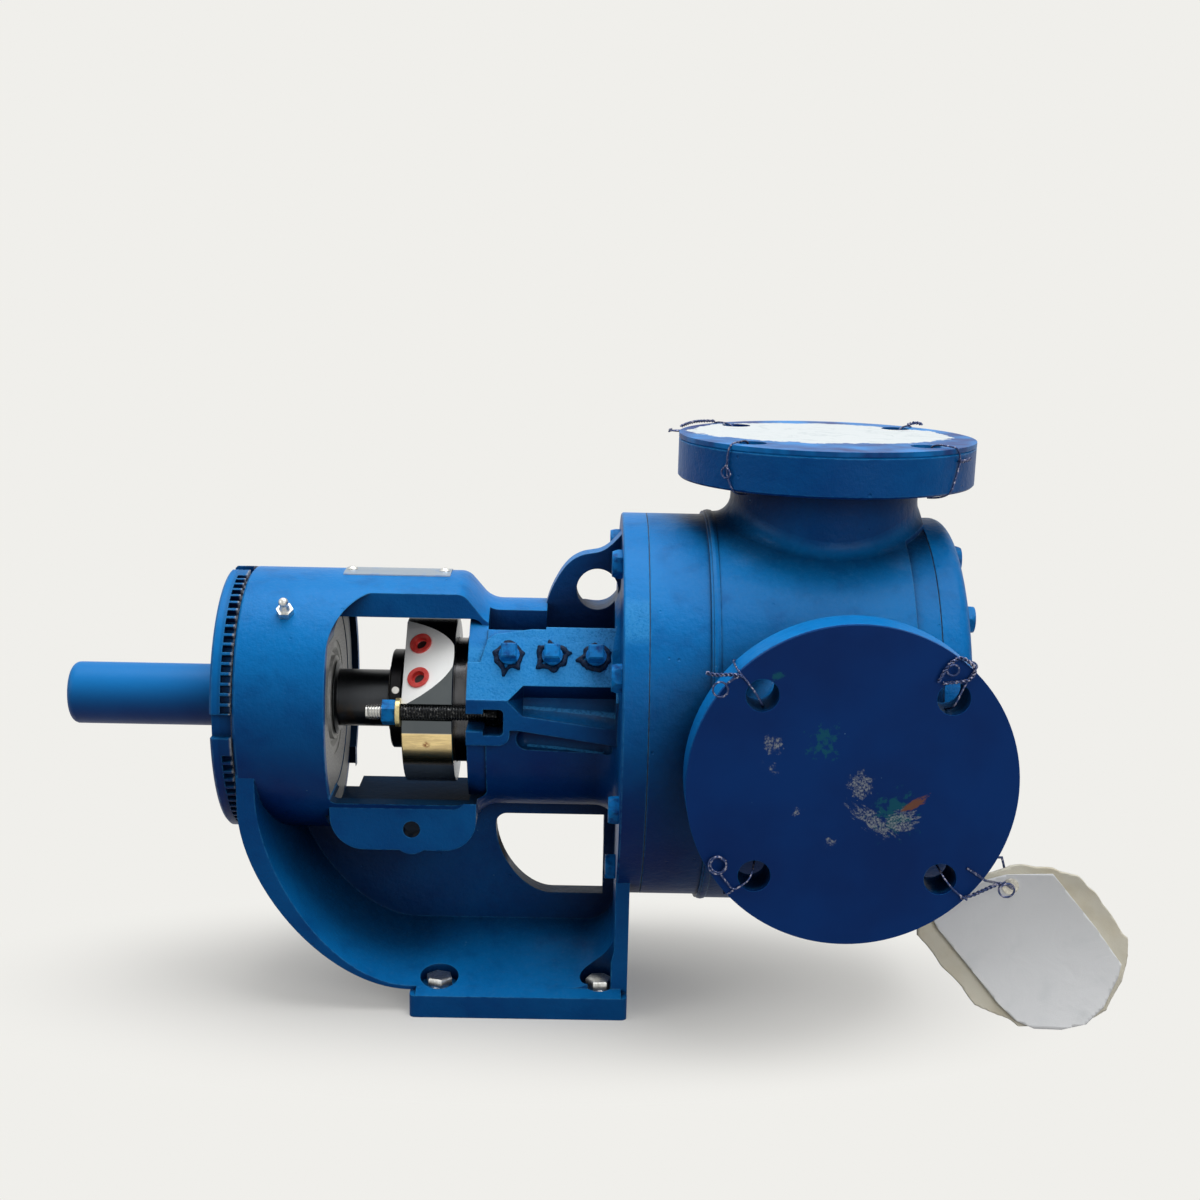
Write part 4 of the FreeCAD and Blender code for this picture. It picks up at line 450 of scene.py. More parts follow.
def top_cover_paint():
    """Blue cover under a large blank paper label with torn edges."""
    f = Finish("top_cover_paint", {"Specular IOR Level": 0.16})
    tones = colours()
    soft = f.soft_edge(0.5 * MM)
    x, y, z = f.axes(f.place)
    across = (x - (PORT_X - 4 * MM)) / (86 * MM)
    along = (y - 14 * MM) / (66 * MM)
    reach = (across * across + along * along).root()
    torn = f.noise(26 * MM, 5, 0.6) * 0.42 + f.noise(3.5 * MM, 3) * 0.06
    label = f.rise(reach + torn, 1.20, 1.185) * f.facing((0.0, 0.0, 1.0), 0.9, 0.97)
    creases = f.noise(16 * MM, 4, 0.65, warp=1.5)
    paper = f.mix(f.rise(creases, 0.5, 0.75), tones.label, (0.56, 0.62, 0.64, 1.0))
    blue = f.mix(f.rise(f.noise(30 * MM, 3), 0.3, 0.7), tones.blue_shaded, tones.blue)
    height = f.noise(2.6 * MM, 2) * 0.25 + label * 2.0 + creases * label * 2.5
    return f.coat(f.mix(label, blue, paper), 0.42 + label * 0.3, f.bump(height, 0.12 * MM, soft))


def shaft_finish():
    """Painted drive end, oiled dark steel in the window, ground steel elsewhere."""
    f = Finish("shaft_finish", {"Specular IOR Level": 0.2})
    tones = colours()
    x, y, z = f.axes(f.place)
    painted = f.rise(x, -198.5 * MM, -199.5 * MM)
    oiled = f.rise(x, -132 * MM, -131 * MM) * f.rise(x, -89 * MM, -90 * MM)
    soft = f.soft_edge(0.8 * MM)
    # Painted light on the painted drive end: lit blue on top, shaded blue underneath; its edges are partly
    # thinned paint and partly a painted highlight.
    upward = f.facing((0.0, 0.0, 1.0), -0.6, 0.8)
    blue = f.mix(upward * 0.85 + f.noise(26 * MM, 3) * 0.15, tones.blue_shaded, tones.blue)
    blue = f.mix(edge_mask(f, soft) * 0.4, blue, tones.blue_edge)
    turned = f.noise(0.7 * MM, 2, where=f.stretched((1.0, 0.03, 0.03)))
    stain = f.rise(f.noise(9 * MM, 3), 0.4, 0.7) * f.rise(z, AXIS_HEIGHT + 4 * MM, AXIS_HEIGHT - 10 * MM)
    dark = f.mix(stain * 0.7, tones.dark_steel, (0.10, 0.060, 0.030, 1.0))
    bare = f.mix(oiled, tones.steel, dark)
    height = turned * (1.0 - painted) * 0.4 + f.noise(2.6 * MM, 2) * painted
    return f.surface({"Base Color": f.mix(painted, bare, blue), "Metallic": 1.0 - painted,
                      "Roughness": 0.28 + painted * 0.12 + turned * 0.12,
                      "Normal": f.bump(height, 0.07 * MM, soft)})

# Bare metal and other finishes

def turned_metal(name, tone, rough, metallic=1.0, edge_wear_and_highlight=0.35):
    """Lathe-turned or ground metal: fine rings about the shaft, smears of oil and bright edges, partly worn
    and partly a painted highlight.
    """
    f = Finish(name, {"Metallic": metallic})
    soft = f.soft_edge(0.5 * MM)
    rings = f.noise(0.6 * MM, 2, where=f.stretched((1.0, 0.04, 0.04)))
    smear = f.noise(11 * MM, 4, 0.6)
    dark = shade_of(tone, 0.55)
    base = f.mix(f.rise(smear, 0.38, 0.75) * 0.8, tone, dark)
    # Bright edges: partly worn metal, partly a painted highlight.
    base = f.mix(edge_mask(f, soft) * edge_wear_and_highlight, base, shade_of(tone, 1.5, 0.05))
    return f.coat(base, rough + smear * 0.14 + rings * 0.08, f.bump(rings, 0.03 * MM, soft))


def gland_finish():
    """Polished stainless gland: bright flats and painted reflections on the turned surface, dark above, a
    warm band below the studs and blue-grey further down.
    """
    f = Finish("gland_finish", {"Metallic": 1.0})
    tones = colours()
    soft = f.soft_edge(0.4 * MM)
    x, y, z = f.axes(f.place)
    lift = z - AXIS_HEIGHT
    flat_normal = Vector((-0.306, -0.661, 0.685)).normalized()
    flat = f.facing(tuple(flat_normal), 0.990, 0.997).most(
        f.facing((flat_normal.x, -flat_normal.y, -flat_normal.z), 0.990, 0.997))
    milled = f.noise(0.8 * MM, 2, where=f.stretched((1.0, 0.15, 0.15)))
    rings = f.noise(0.55 * MM, 2, where=f.stretched((1.0, 0.03, 0.03)))
    below = f.rise(lift, -8.5 * MM, -9.5 * MM)
    # Painted reflection: a warm band with streaks below the studs.
    painted_warm_reflection = below * f.rise(lift, -34 * MM, -29 * MM)
    base = f.mix(f.rise(f.noise(9 * MM, 3), 0.4, 0.75) * 0.4, tones.steel, (0.42, 0.42, 0.43, 1.0))
    # Painted reflection: the turned surface above the band is painted near-black.
    painted_dark_reflection = (1.0 - below) * (1.0 - flat) * 0.93
    base = f.mix(painted_dark_reflection, base, (0.060, 0.075, 0.085, 1.0))
    lines = f.noise(3.2 * MM, 4, 0.7, where=f.stretched((0.12, 1.0, 1.0)))
    tint = f.mix(f.rise(lines, 0.40, 0.62) * 0.45, tones.painted_warm_reflection, (0.42, 0.30, 0.12, 1.0))
    base = f.mix(painted_warm_reflection * 0.9, base, tint)
    blotch = f.near((-62 * MM, -53 * MM, AXIS_HEIGHT - 17 * MM), 0.8 * MM, 3.4 * MM)
    base = f.mix(blotch * f.rise(f.noise(1.5 * MM, 3), 0.35, 0.55), base, tones.rust)
    # Painted reflection: blue-grey near the bottom of the turned surface, from the blue casting below.
    painted_blue_reflection = f.rise(lift, -30 * MM, -34 * MM) * (1.0 - flat)
    base = f.mix(painted_blue_reflection * 0.9, base, (0.150, 0.240, 0.360, 1.0))
    base = f.mix(flat, base, (0.86, 0.87, 0.87, 1.0))
    return f.surface({"Base Color": base, "Metallic": 1.0 - flat * 0.45 - painted_blue_reflection * 0.5,
                      "Roughness": 0.20 + flat * 0.30 + rings * 0.08 + milled * flat * 0.1,
                      "Normal": f.bump(rings * 0.5 + milled * flat * 0.5, 0.03 * MM, soft)})


def plated(name, tone, rough=0.28):
    """Zinc plate: cool and slightly mottled, with dull patches."""
    f = Finish(name, {"Metallic": 1.0})
    soft = f.soft_edge(0.5 * MM)
    mottle = f.noise(2.2 * MM, 4, 0.6)
    yellow = f.noise(5 * MM, 2)
    base = f.mix(f.rise(mottle, 0.35, 0.7), tone, shade_of(tone, 0.62))
    base = f.mix(f.rise(yellow, 0.5, 0.8) * 0.4, base, (0.60, 0.56, 0.40, 1.0))
    return f.coat(base, rough + mottle * 0.2, f.bump(mottle, 0.05 * MM, soft))


def moulded(name, tone, rough, relief=0.03 * MM):
    """Rubber, carbon or plastic: even colour with fine mould texture and dusty smears."""
    f = Finish(name)
    soft = f.soft_edge(0.4 * MM)
    smear = f.noise(8 * MM, 3)
    fine = f.noise(0.5 * MM, 2)
    base = f.mix(f.rise(smear, 0.4, 0.8) * 0.5, tone, shade_of(tone, 1.6, 0.01))
    return f.coat(base, rough + smear * 0.15, f.bump(fine, relief, soft))


def seal_plug_finish():
    """Red shipping plugs with a hollow in the middle that is painted near-black as painted shade."""
    f = Finish("plug_plastic", {"Specular IOR Level": 0.4})
    x, y, z = f.axes(f.place)
    dark = None
    for side in (1, -1):
        axis = (PLUG_AXIS[0], PLUG_AXIS[1] * side, PLUG_AXIS[2] * side)
        for across, up in SEAL_PLUGS:
            centre = (SEAL_PLUG_X, across * side, AXIS_HEIGHT + up * side)
            aside = f.vector("CROSS_PRODUCT", f.vector("SUBTRACT", f.place, centre), axis)
            reach = f.vector("LENGTH", aside, out="Value")
            dark = reach if dark is None else dark.least(reach)
    # Painted shade: the middle of each plug is near-black.
    rim = f.rise(dark, 3.1 * MM, 3.7 * MM)
    fine = f.noise(0.5 * MM, 2)
    worn = f.mix(f.rise(f.noise(3 * MM, 3), 0.4, 0.7) * 0.4, colours().red, (0.80, 0.16, 0.13, 1.0))
    return f.coat(f.mix(rim, (0.010, 0.003, 0.003, 1.0), worn), 0.32 + fine * 0.1,
                  f.bump(fine * 0.1 + rim, 0.5 * MM, f.soft_edge(0.4 * MM)))


def stud_finish():
    """Blackened studs whose threads are painted bright at their outer ends and on scattered crests, partly
    worn thread and partly a painted highlight.
    """
    f = Finish("stud_finish", {"Metallic": 1.0})
    x, y, z = f.axes(f.place)
    # Painted highlight: the outer ends and scattered crests are painted bright, partly worn thread and partly
    # a highlight.
    worn = f.rise(x, STUD_START_X + 14 * MM, STUD_START_X + 8 * MM)
    crests = f.rise(f.noise(1.5 * MM, 3), 0.5, 0.7) * 0.35
    base = f.mix(worn.most(crests), (0.040, 0.042, 0.045, 1.0), (0.60, 0.60, 0.58, 1.0))
    return f.coat(base, 0.24 + f.noise(2 * MM, 3) * 0.15, f.bump(f.noise(0.9 * MM, 3), 0.04 * MM))


def nameplate_finish():
    """Blank aluminium plate, brushed along its length and misted with blue at its edges."""
    f = Finish("nameplate_finish", {"Metallic": 0.85})
    tones = colours()
    brushed = f.noise(0.5 * MM, 3, where=f.stretched((0.02, 1.0, 1.0)))
    mist = f.rise(f.noise(7 * MM, 3), 0.50, 0.75)
    base = f.mix(mist * 0.35, tones.plate, tones.blue)
    return f.coat(base, 0.32 + brushed * 0.2, f.bump(brushed, 0.03 * MM))


def card_finish():
    """Blank laminated card with faint creases and handling marks."""
    f = Finish("card_finish", {"Specular IOR Level": 0.4})
    tones = colours()
    fibre = f.noise(0.6 * MM, 3)
    marks = f.rise(f.noise(18 * MM, 4), 0.5, 0.8)
    base = f.mix(marks * 0.5, tones.card, (0.80, 0.84, 0.86, 1.0))
    return f.coat(base, 0.42 + marks * 0.2,
                  f.bump(fibre * 0.4 + f.noise(22 * MM, 3, warp=1.0) * 3.0, 0.12 * MM))


def pouch_finish():
    """Cream woven pouch with a fine weave, creases and pale stains."""
    f = Finish("pouch_finish", {"Sheen Weight": 0.15, "Specular IOR Level": 0.2})
    tones = colours()
    x, y, z = f.axes(f.place)
    thread = 2.0 * math.pi / (0.9 * MM)
    weave = (x * thread).sine() * (z * thread).sine() * 0.5 + 0.5
    stain = f.rise(f.noise(26 * MM, 4), 0.48, 0.75)
    base = f.mix(stain * 0.7, tones.pouch, (0.80, 0.72, 0.54, 1.0))
    base = f.mix(f.rise(weave, 0.6, 0.1) * 0.18, base, (0.62, 0.58, 0.47, 1.0))
    return f.coat(base, 0.85 + weave * 0.08, f.bump(weave * 0.5 + f.noise(5 * MM, 3) * 1.5, 0.16 * MM))


def wire_finish():
    f = Finish("tie_wire_finish", {"Metallic": 0.7})
    tones = colours()
    chips = f.rise(f.noise(1.6 * MM, 3), 0.52, 0.66)
    base = f.mix(chips, tones.wire, (0.34, 0.33, 0.42, 1.0))
    return f.coat(base, 0.36 + chips * 0.1, f.bump(f.noise(0.8 * MM, 2), 0.04 * MM))


def sealant_finish():
    f = Finish("sealant_finish", {"Specular IOR Level": 0.12})
    lumps = f.noise(1.2 * MM, 4, 0.6)
    base = f.mix(f.rise(lumps, 0.4, 0.7), (0.002, 0.010, 0.034, 1.0), (0.004, 0.030, 0.090, 1.0))
    return f.coat(base, 0.35 + lumps * 0.25, f.bump(lumps, 0.5 * MM))


# Mesh building

def dress(node_names, finish):
    """Gives a finish to CAD nodes by their material slots."""
    for name in node_names:
        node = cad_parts.get(name)
        if node is None:
            raise RuntimeError("the frame has no node named " + name)
        if not node.material_slots:
            node.data.materials.append(finish.material)
        for place in node.material_slots:
            place.material = finish.material


def add_piece(name, mesh, finish, body):
    piece = bpy.data.objects.new(name, mesh)
    bpy.context.scene.collection.objects.link(piece)
    mesh.materials.clear()
    mesh.materials.append(finish.material)
    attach(piece, body)
    return piece


def mesh_of(name, bm, crease=40.0):
    bmesh.ops.remove_doubles(bm, verts=bm.verts[:], dist=0.005 * MM)
    bmesh.ops.recalc_face_normals(bm, faces=bm.faces[:])
    for face in bm.faces:
        face.smooth = True
    mesh = bpy.data.meshes.new(name)
    bm.to_mesh(mesh)
    bm.free()
    mesh.set_sharp_from_angle(angle=math.radians(crease))
    return mesh


def join(bm, part, place):
    """Moves a part to its place and adds it to a mesh in the making."""
    bmesh.ops.transform(part, matrix=place, verts=part.verts[:])
    piece = bpy.data.meshes.new("part")
    part.to_mesh(piece)
    part.free()
    bm.from_mesh(piece)
    bpy.data.meshes.remove(piece)


def hex_head(bm, across, height, place):
    """Hex head standing on the x-y plane of place: a washer face, six flats and a domed chamfer."""
    corner = across / math.sqrt(3.0)
    made = bmesh.ops.create_cone(bm, cap_ends=True, segments=6, radius1=corner, radius2=corner, depth=height)
    bmesh.ops.translate(bm, verts=made["verts"], vec=(0.0, 0.0, height / 2 + 0.6 * MM))
    top = [e for e in bm.edges if all(v in made["verts"] and v.co.z > height for v in e.verts)]
    bmesh.ops.bevel(bm, geom=top, offset=0.09 * across, segments=3, profile=0.5, affect="EDGES", material=-1)
    washer = bmesh.ops.create_cone(bm, cap_ends=True, segments=40, radius1=across * 0.53,
                                   radius2=across * 0.50, depth=WASHER_FACE)
    bmesh.ops.translate(bm, verts=washer["verts"], vec=(0.0, 0.0, WASHER_FACE / 2))
    bmesh.ops.transform(bm, matrix=place, verts=bm.verts[:])


def thread(bm, radius, depth, pitch, start, end, steps=20):
    """Helical thread along +z from start to end, closed by a plain core."""
    turns = int((end - start) / pitch)
    root = radius - depth
    corners = [bm.verts.new(p) for p in ((root, 0.0, start), (radius, 0.0, start + pitch * 0.42),
                                         (radius, 0.0, start + pitch * 0.55), (root, 0.0, start + pitch))]
    edges = [bm.edges.new(pair) for pair in zip(corners, corners[1:])]
    bmesh.ops.spin(bm, geom=corners + edges, cent=(0.0, 0.0, 0.0), axis=(0.0, 0.0, 1.0),
                   dvec=(0.0, 0.0, pitch / steps), angle=2.0 * math.pi * (turns - 1),
                   steps=steps * (turns - 1), use_merge=False, use_normal_flip=False, use_duplicate=False)
    core = bmesh.ops.create_cone(bm, cap_ends=True, segments=24, radius1=root * 1.01, radius2=root * 1.01,
                                 depth=end - start)
    bmesh.ops.translate(bm, verts=core["verts"], vec=(0.0, 0.0, (start + end) / 2))


def smooth_line(points):
    """Points along the NURBS curve that a given list of points controls."""
    data = bpy.data.curves.new("route", "CURVE")
    data.dimensions = "3D"
    data.resolution_u = 10
    spline = data.splines.new("NURBS")
    spline.points.add(len(points) - 1)
    for point, place in zip(spline.points, points):
        point.co = (*place, 1.0)
    spline.use_endpoint_u = True
    spline.order_u = 3
    guide = bpy.data.objects.new("route", data)
    bpy.context.scene.collection.objects.link(guide)
    bpy.context.view_layer.update()
    mesh = bpy.data.meshes.new_from_object(guide.evaluated_get(bpy.context.evaluated_depsgraph_get()))
    line = [v.co.copy() for v in mesh.vertices]
    bpy.data.objects.remove(guide)
    bpy.data.curves.remove(data)
    bpy.data.meshes.remove(mesh)
    return line


def tube(bm, line, radius, sides=8):
    """Round tube along a line of points, closed at both ends."""
    rings = []
    across = (line[1] - line[0]).orthogonal().normalized()
    for i, point in enumerate(line):
        ahead = (line[min(i + 1, len(line) - 1)] - line[max(i - 1, 0)]).normalized()
        across = (across - ahead * across.dot(ahead)).normalized()
        made = bmesh.ops.create_circle(bm, segments=sides, radius=radius)
        turn = Matrix((across, ahead.cross(across), ahead)).transposed().to_4x4()
        bmesh.ops.transform(bm, matrix=Matrix.Translation(point) @ turn, verts=made["verts"])
        rings.append(made["verts"])
    for first, second in zip(rings, rings[1:]):
        edges = [e for ring in (first, second) for v in ring for e in v.link_edges
                 if e.verts[0] in ring and e.verts[1] in ring]
        bmesh.ops.bridge_loops(bm, edges=list(set(edges)))
    for ring in (rings[0], rings[-1]):
        bmesh.ops.contextual_create(bm, geom=list({e for v in ring for e in v.link_edges
                                                   if e.verts[0] in ring and e.verts[1] in ring}))


def strands(bm, points, twisted):
    """One wire along the points, or two that wind round each other."""
    line = smooth_line(points)
    radius = sizes().wire
    if not twisted:
        tube(bm, line, radius)
        return
    travelled = 0.0
    across = (line[1] - line[0]).orthogonal().normalized()
    sides = ([], [])
    for i, point in enumerate(line):
        ahead = (line[min(i + 1, len(line) - 1)] - line[max(i - 1, 0)]).normalized()
        across = (across - ahead * across.dot(ahead)).normalized()
        up = ahead.cross(across)
        if i:
            travelled += (point - line[i - 1]).length
        turn = 2.0 * math.pi * travelled / sizes().twist
        lean = (across * math.cos(turn) + up * math.sin(turn)) * radius * 1.02
        sides[0].append(point + lean)
        sides[1].append(point - lean)
    for side in sides:
        tube(bm, side, radius)


def ring_points(centre, radius, turn=0.0, share=1.15, lean=0.25):
    """A wire ring about a flange-local centre, open by its own overlap."""
    count = 11
    across, up, out = centre
    return [(across + radius * math.cos(turn + 2 * math.pi * share * i / count),
             up + radius * math.sin(turn + 2 * math.pi * share * i / count),
             out + lean * i) for i in range(count + 1)]


def side_flange(point):
    """Flange-local millimetres (across, up, out) on the front flange, as metres in the foot frame."""
    across, up, out = point
    return Vector((PORT_X + across * MM, -PORT_FACE - out * MM, AXIS_HEIGHT + up * MM))


def top_flange(point):
    """The same on the top flange, where up points away from the viewer."""
    across, up, out = point
    return Vector((PORT_X + across * MM, up * MM, AXIS_HEIGHT + PORT_FACE + out * MM))


# Tie wires in flange-local millimetres: (twisted, points)
FRONT_WIRES = (
    (False, [(-52, 44, -16), (-53, 46.5, -4), (-54.5, 50, 1.2), (-60, 58.5, 1.0), (-67.5, 67.2, 1.0),
             (-69.6, 69.4, -6), (-69.4, 69.2, -22), (-66, 66, -30), (-58, 58, -31)]),
    (True, [(-66, 65.2, 2.0), (-71, 66.5, 3.2), (-77.3, 66.2, 3.6), (-82, 66.0, 3.4), (-86.2, 67.1, 3.0)]),
    (False, ring_points((-78.0, 57.5, 1.5), 4.4)),
    (False, [(-75, 60.5, 2.5), (-71.5, 63.5, 2.5), (-67, 65.4, 2.2)]),
    (False, [(52, 44, -16), (53.5, 47, -4), (55, 52, 1.2), (58, 60, 1.4), (63.5, 71, 1.0), (67.5, 71.6, -6),
             (67.4, 71.4, -22), (62, 66, -30)]),
    (True, [(43.9, 64, 2.0), (46, 70, 3.0), (50, 76, 3.2), (55, 79.1, 3.2), (60.5, 76, 3.0),
            (64.5, 72.0, 2.4), (62, 65.8, 2.4), (55, 64.4, 2.8), (46.5, 63.6, 2.4)]),
    (False, ring_points((51.2, 71.6, 2.2), 3.4, turn=1.4)),
    (False, [(-52, -46, -16), (-54, -50, -3), (-56.5, -55.5, 1.4), (-61, -59.5, 1.4), (-65.7, -62.3, 1.6),
             (-69.5, -57.5, 2.0), (-74, -51.5, 2.4)]),
    (False, [(-65.7, -62.3, 1.4), (-70, -66.5, 0.2), (-70.4, -67, -10), (-69, -66, -26), (-62, -60, -31)]),
    (False, ring_points((-75.6, -46.4, 1.8), 5.4, turn=-1.2)),
    (False, ring_points((-75.0, -46.0, 2.8), 4.7, turn=0.4)),
    (False, [(52, -46, -16), (54, -50, -3), (57.5, -55, 1.2), (63.5, -61.5, 1.6), (70.0, -65.6, 2.2)]),
    (True, [(66.5, -64.6, 2.4), (72, -62.6, 3.0), (77.4, -59.6, 3.4), (83, -56.6, 3.6), (88.6, -54.0, 3.6)]),
    (False, ring_points((91.8, -58.2, 3.0), 4.6, turn=1.7)),
)
TOP_WIRES = (
    (False, [(-54, -47, -12), (-55, -49, -1), (-57.5, -53, 1.3), (-62, -61, 1.1), (-67.8, -68.2, 0.8),
             (-69.4, -67.6, -6), (-69.5, -67.2, -12), (-69.2, -67.4, -19), (-66.2, -70.6, -27),
             (-62, -66, -30.5), (-56, -58, -31)]),
    (False, [(-70.0, -67.0, -13.6), (-67.6, -69.6, -15.6), (-67.4, -70.0, -19), (-70.0, -67.6, -20.6),
             (-72.4, -64.8, -18.8), (-72.4, -64.8, -15.4), (-70.2, -67.2, -13.4), (-69.4, -68.4, -10.6)]),
    (False, [(55, -47, -12), (57, -49, -1), (61, -54, 1.3), (67, -61, 1.1), (71.2, -65.2, 0.6),
             (73.2, -63.4, -5), (73.4, -63.0, -10), (70.6, -66.0, -19), (68.4, -68.2, -26.5),
             (62, -64, -30.5), (56, -58, -31)]),
    (True, [(72.6, -64.0, -7.4), (75.6, -60.6, -8.0), (79.5, -56.6, -7.6), (82.0, -52.6, -7.0)]),
    (False, [(-54, 47, -12), (-55, 50, -1), (-60, 57, 1.3), (-69, 67, 0.8), (-70, 68, -8), (-69.5, 67.5, -24),
             (-62, 60, -31)]),
    (True, [(-68, 64, 1.6), (-78, 56, 2.4), (-87, 46, 1.6), (-92, 38, 0.2)]),
    (False, ring_points((-95.5, 33.0, -1.6), 4.8, turn=2.2, lean=-0.12)),
    (False, [(54, 47, -12), (55, 50, -1), (60, 58, 1.3), (68, 68, 0.9), (69.5, 69.5, -8), (69, 69, -24),
             (61, 61, -31)]),
    (True, [(64, 64, 1.8), (66, 60, 3.4), (69.5, 58, 4.0), (73, 60, 2.6)]),
)


class StageOperator(bpy.types.Operator):
    """Lay the floor, hang the lamps and place the camera"""

    bl_idname = "pump.stage"
    bl_label = "Floor, lamps and camera"

    def execute(self, context):
        scene = context.scene
        scene.view_settings.view_transform = "Standard"
        self.lay_floor(scene)
        self.light_world(scene)
        self.hang_lamp("key", (0.15, 0.05, 1.75), (0.10, -0.02, 0.2), 1.9, 1.2, 27.5)
        self.hang_lamp("left_fill", (-1.7, -0.7, 1.0), (-0.1, 0.0, 0.2), 1.1, 1.1, 6.0)
        self.hang_lamp("front_fill", (0.9, -1.8, 0.9), (0.1, 0.0, 0.2), 1.4, 0.9, 11.0)
        self.place_camera(scene)
        return {"FINISHED"}

    def lay_floor(self, scene):
        bm = bmesh.new()
        bmesh.ops.create_grid(bm, x_segments=1, y_segments=1, size=8.0)
        mesh = bpy.data.meshes.new("floor")
        bm.to_mesh(mesh)
        bm.free()
        floor = bpy.data.objects.new("floor", mesh)
        scene.collection.objects.link(floor)
        f = Finish("floor_finish", {"Specular IOR Level": 0.1})
        tones = colours()
        fine = f.noise(30 * MM, 3)
        seen = f.node("LightPath", out="Is Camera Ray").most(f.node("LightPath", out="Is Glossy Ray"))
        pale = f.mix(fine * 0.04, tones.floor, (0.80, 0.79, 0.76, 1.0))
        f.surface({"Base Color": f.mix(seen, (0.20, 0.19, 0.18, 1.0), pale), "Roughness": 0.8 + fine * 0.1})
        glow = f.node("Emission", sockets={"Color": tones.backdrop, "Strength": 1.0})
        beside = f.node("Mapping", sockets={"Vector": f.place, "Location": (0.0, 35 * MM, 0.0),
                                               "Scale": (0.42, 1.0, 1.0)})
        away = f.vector("LENGTH", beside, out="Value")
        share = (f.rise(away, 0.02, 0.09) * 0.26 + f.rise(away, 0.07, 0.17) * 0.54 + 0.20).least(1.0) * seen
        blend = f.node("MixShader", sockets={0: share, 1: Sock(f, f.shader.outputs[0]), 2: glow})
        output = f.tree.nodes["Material Output"]
        f.tree.links.new(blend.socket, output.inputs["Surface"])
        mesh.materials.append(f.material)

    def light_world(self, scene):
        world = bpy.data.worlds.new("studio")
        scene.world = world
        world.use_nodes = True
        tree = world.node_tree
        shown = tree.nodes["Background"]
        shown.inputs["Color"].default_value = colours().backdrop
        shown.inputs["Strength"].default_value = 1.0
        fill = tree.nodes.new("ShaderNodeBackground")
        fill.inputs["Color"].default_value = (1.0, 1.0, 1.0, 1.0)
        fill.inputs["Strength"].default_value = 0.07
        path = tree.nodes.new("ShaderNodeLightPath")
        either = tree.nodes.new("ShaderNodeMath")
        either.operation = "MAXIMUM"
        tree.links.new(path.outputs["Is Camera Ray"], either.inputs[0])
        tree.links.new(path.outputs["Is Glossy Ray"], either.inputs[1])
        blend = tree.nodes.new("ShaderNodeMixShader")
        tree.links.new(either.outputs[0], blend.inputs[0])
        tree.links.new(fill.outputs[0], blend.inputs[1])
        tree.links.new(shown.outputs[0], blend.inputs[2])
        tree.links.new(blend.outputs[0], tree.nodes["World Output"].inputs["Surface"])

    def hang_lamp(self, name, place, target, wide, deep, power):
        data = bpy.data.lights.new(name, "AREA")
        data.shape = "RECTANGLE"
        data.size = wide
        data.size_y = deep
        data.energy = power
        lamp = bpy.data.objects.new(name, data)
        lamp.location = place
        lamp.rotation_euler = (Vector(target) - Vector(place)).to_track_quat("-Z", "Y").to_euler()
        bpy.context.scene.collection.objects.link(lamp)

    def place_camera(self, scene):
        """Stands where the photographer stood: a little above the pump, looking square at its side."""
        tilt = math.radians(14.9)
        lean = math.radians(1.30)
        swing = math.radians(0.81)
        forward = Vector((math.sin(swing) * math.cos(tilt), math.cos(swing) * math.cos(tilt),
                          -math.sin(tilt)))
        level = Vector((math.cos(swing), -math.sin(swing), 0.0))
        above = level.cross(forward)
        across = level * math.cos(lean) + above * math.sin(lean)
        upward = above * math.cos(lean) - level * math.sin(lean)
        data = bpy.data.cameras.new("camera")
        data.lens = sizes().camera_lens
        data.sensor_width = 36.0
        data.shift_y = CAMERA_SHIFT
        camera = bpy.data.objects.new("camera", data)
        turn = Matrix((across, upward, -forward)).transposed().to_4x4()
        camera.matrix_world = Matrix.Translation(CAMERA_PLACE) @ turn
        scene.collection.objects.link(camera)
        scene.camera = camera


class CastingsOperator(bpy.types.Operator):
    """Paint the bracket, casing, head, bearing carrier and end cap"""

    bl_idname = "pump.castings"
    bl_label = "Paint castings"

    def execute(self, context):
        dress(["bracket"], bracket_paint())
        dress(["casing"], cast_paint("casing_paint"))
        dress(["head"], head_paint())
        dress(["bearing_housing"], ring_paint())
        dress(["end_cap"], cast_paint("cap_paint", relief=0.05 * MM))
        return {"FINISHED"}


class CoversOperator(bpy.types.Operator):
    """Paint, scuff and label the shipping covers"""

    bl_idname = "pump.covers"
    bl_label = "Finish covers"

    def execute(self, context):
        dress(["side_port_cover"], front_cover_paint())
        dress(["top_port_cover"], top_cover_paint())
        return {"FINISHED"}


class FastenersOperator(bpy.types.Operator):
    """Finish bolts, plugs, nuts, rivets and the grease fitting"""

    bl_idname = "pump.fasteners"
    bl_label = "Finish fasteners"

    def execute(self, context):
        tones = colours()
        dress(["bracket_bolts", "head_bolts", "pipe_plugs", "gland_nuts"], bolt_paint())
        dress(["gland_washers"], plated("washer_finish", (0.66, 0.56, 0.28, 1.0)))
        dress(["grease_fitting", "nameplate_screws"], plated("fitting_finish", tones.zinc))
        dress(["nameplate"], nameplate_finish())
        dress(["collar_screws", "housing_screws"], turned_metal("screw_finish", tones.steel, 0.2))
        return {"FINISHED"}


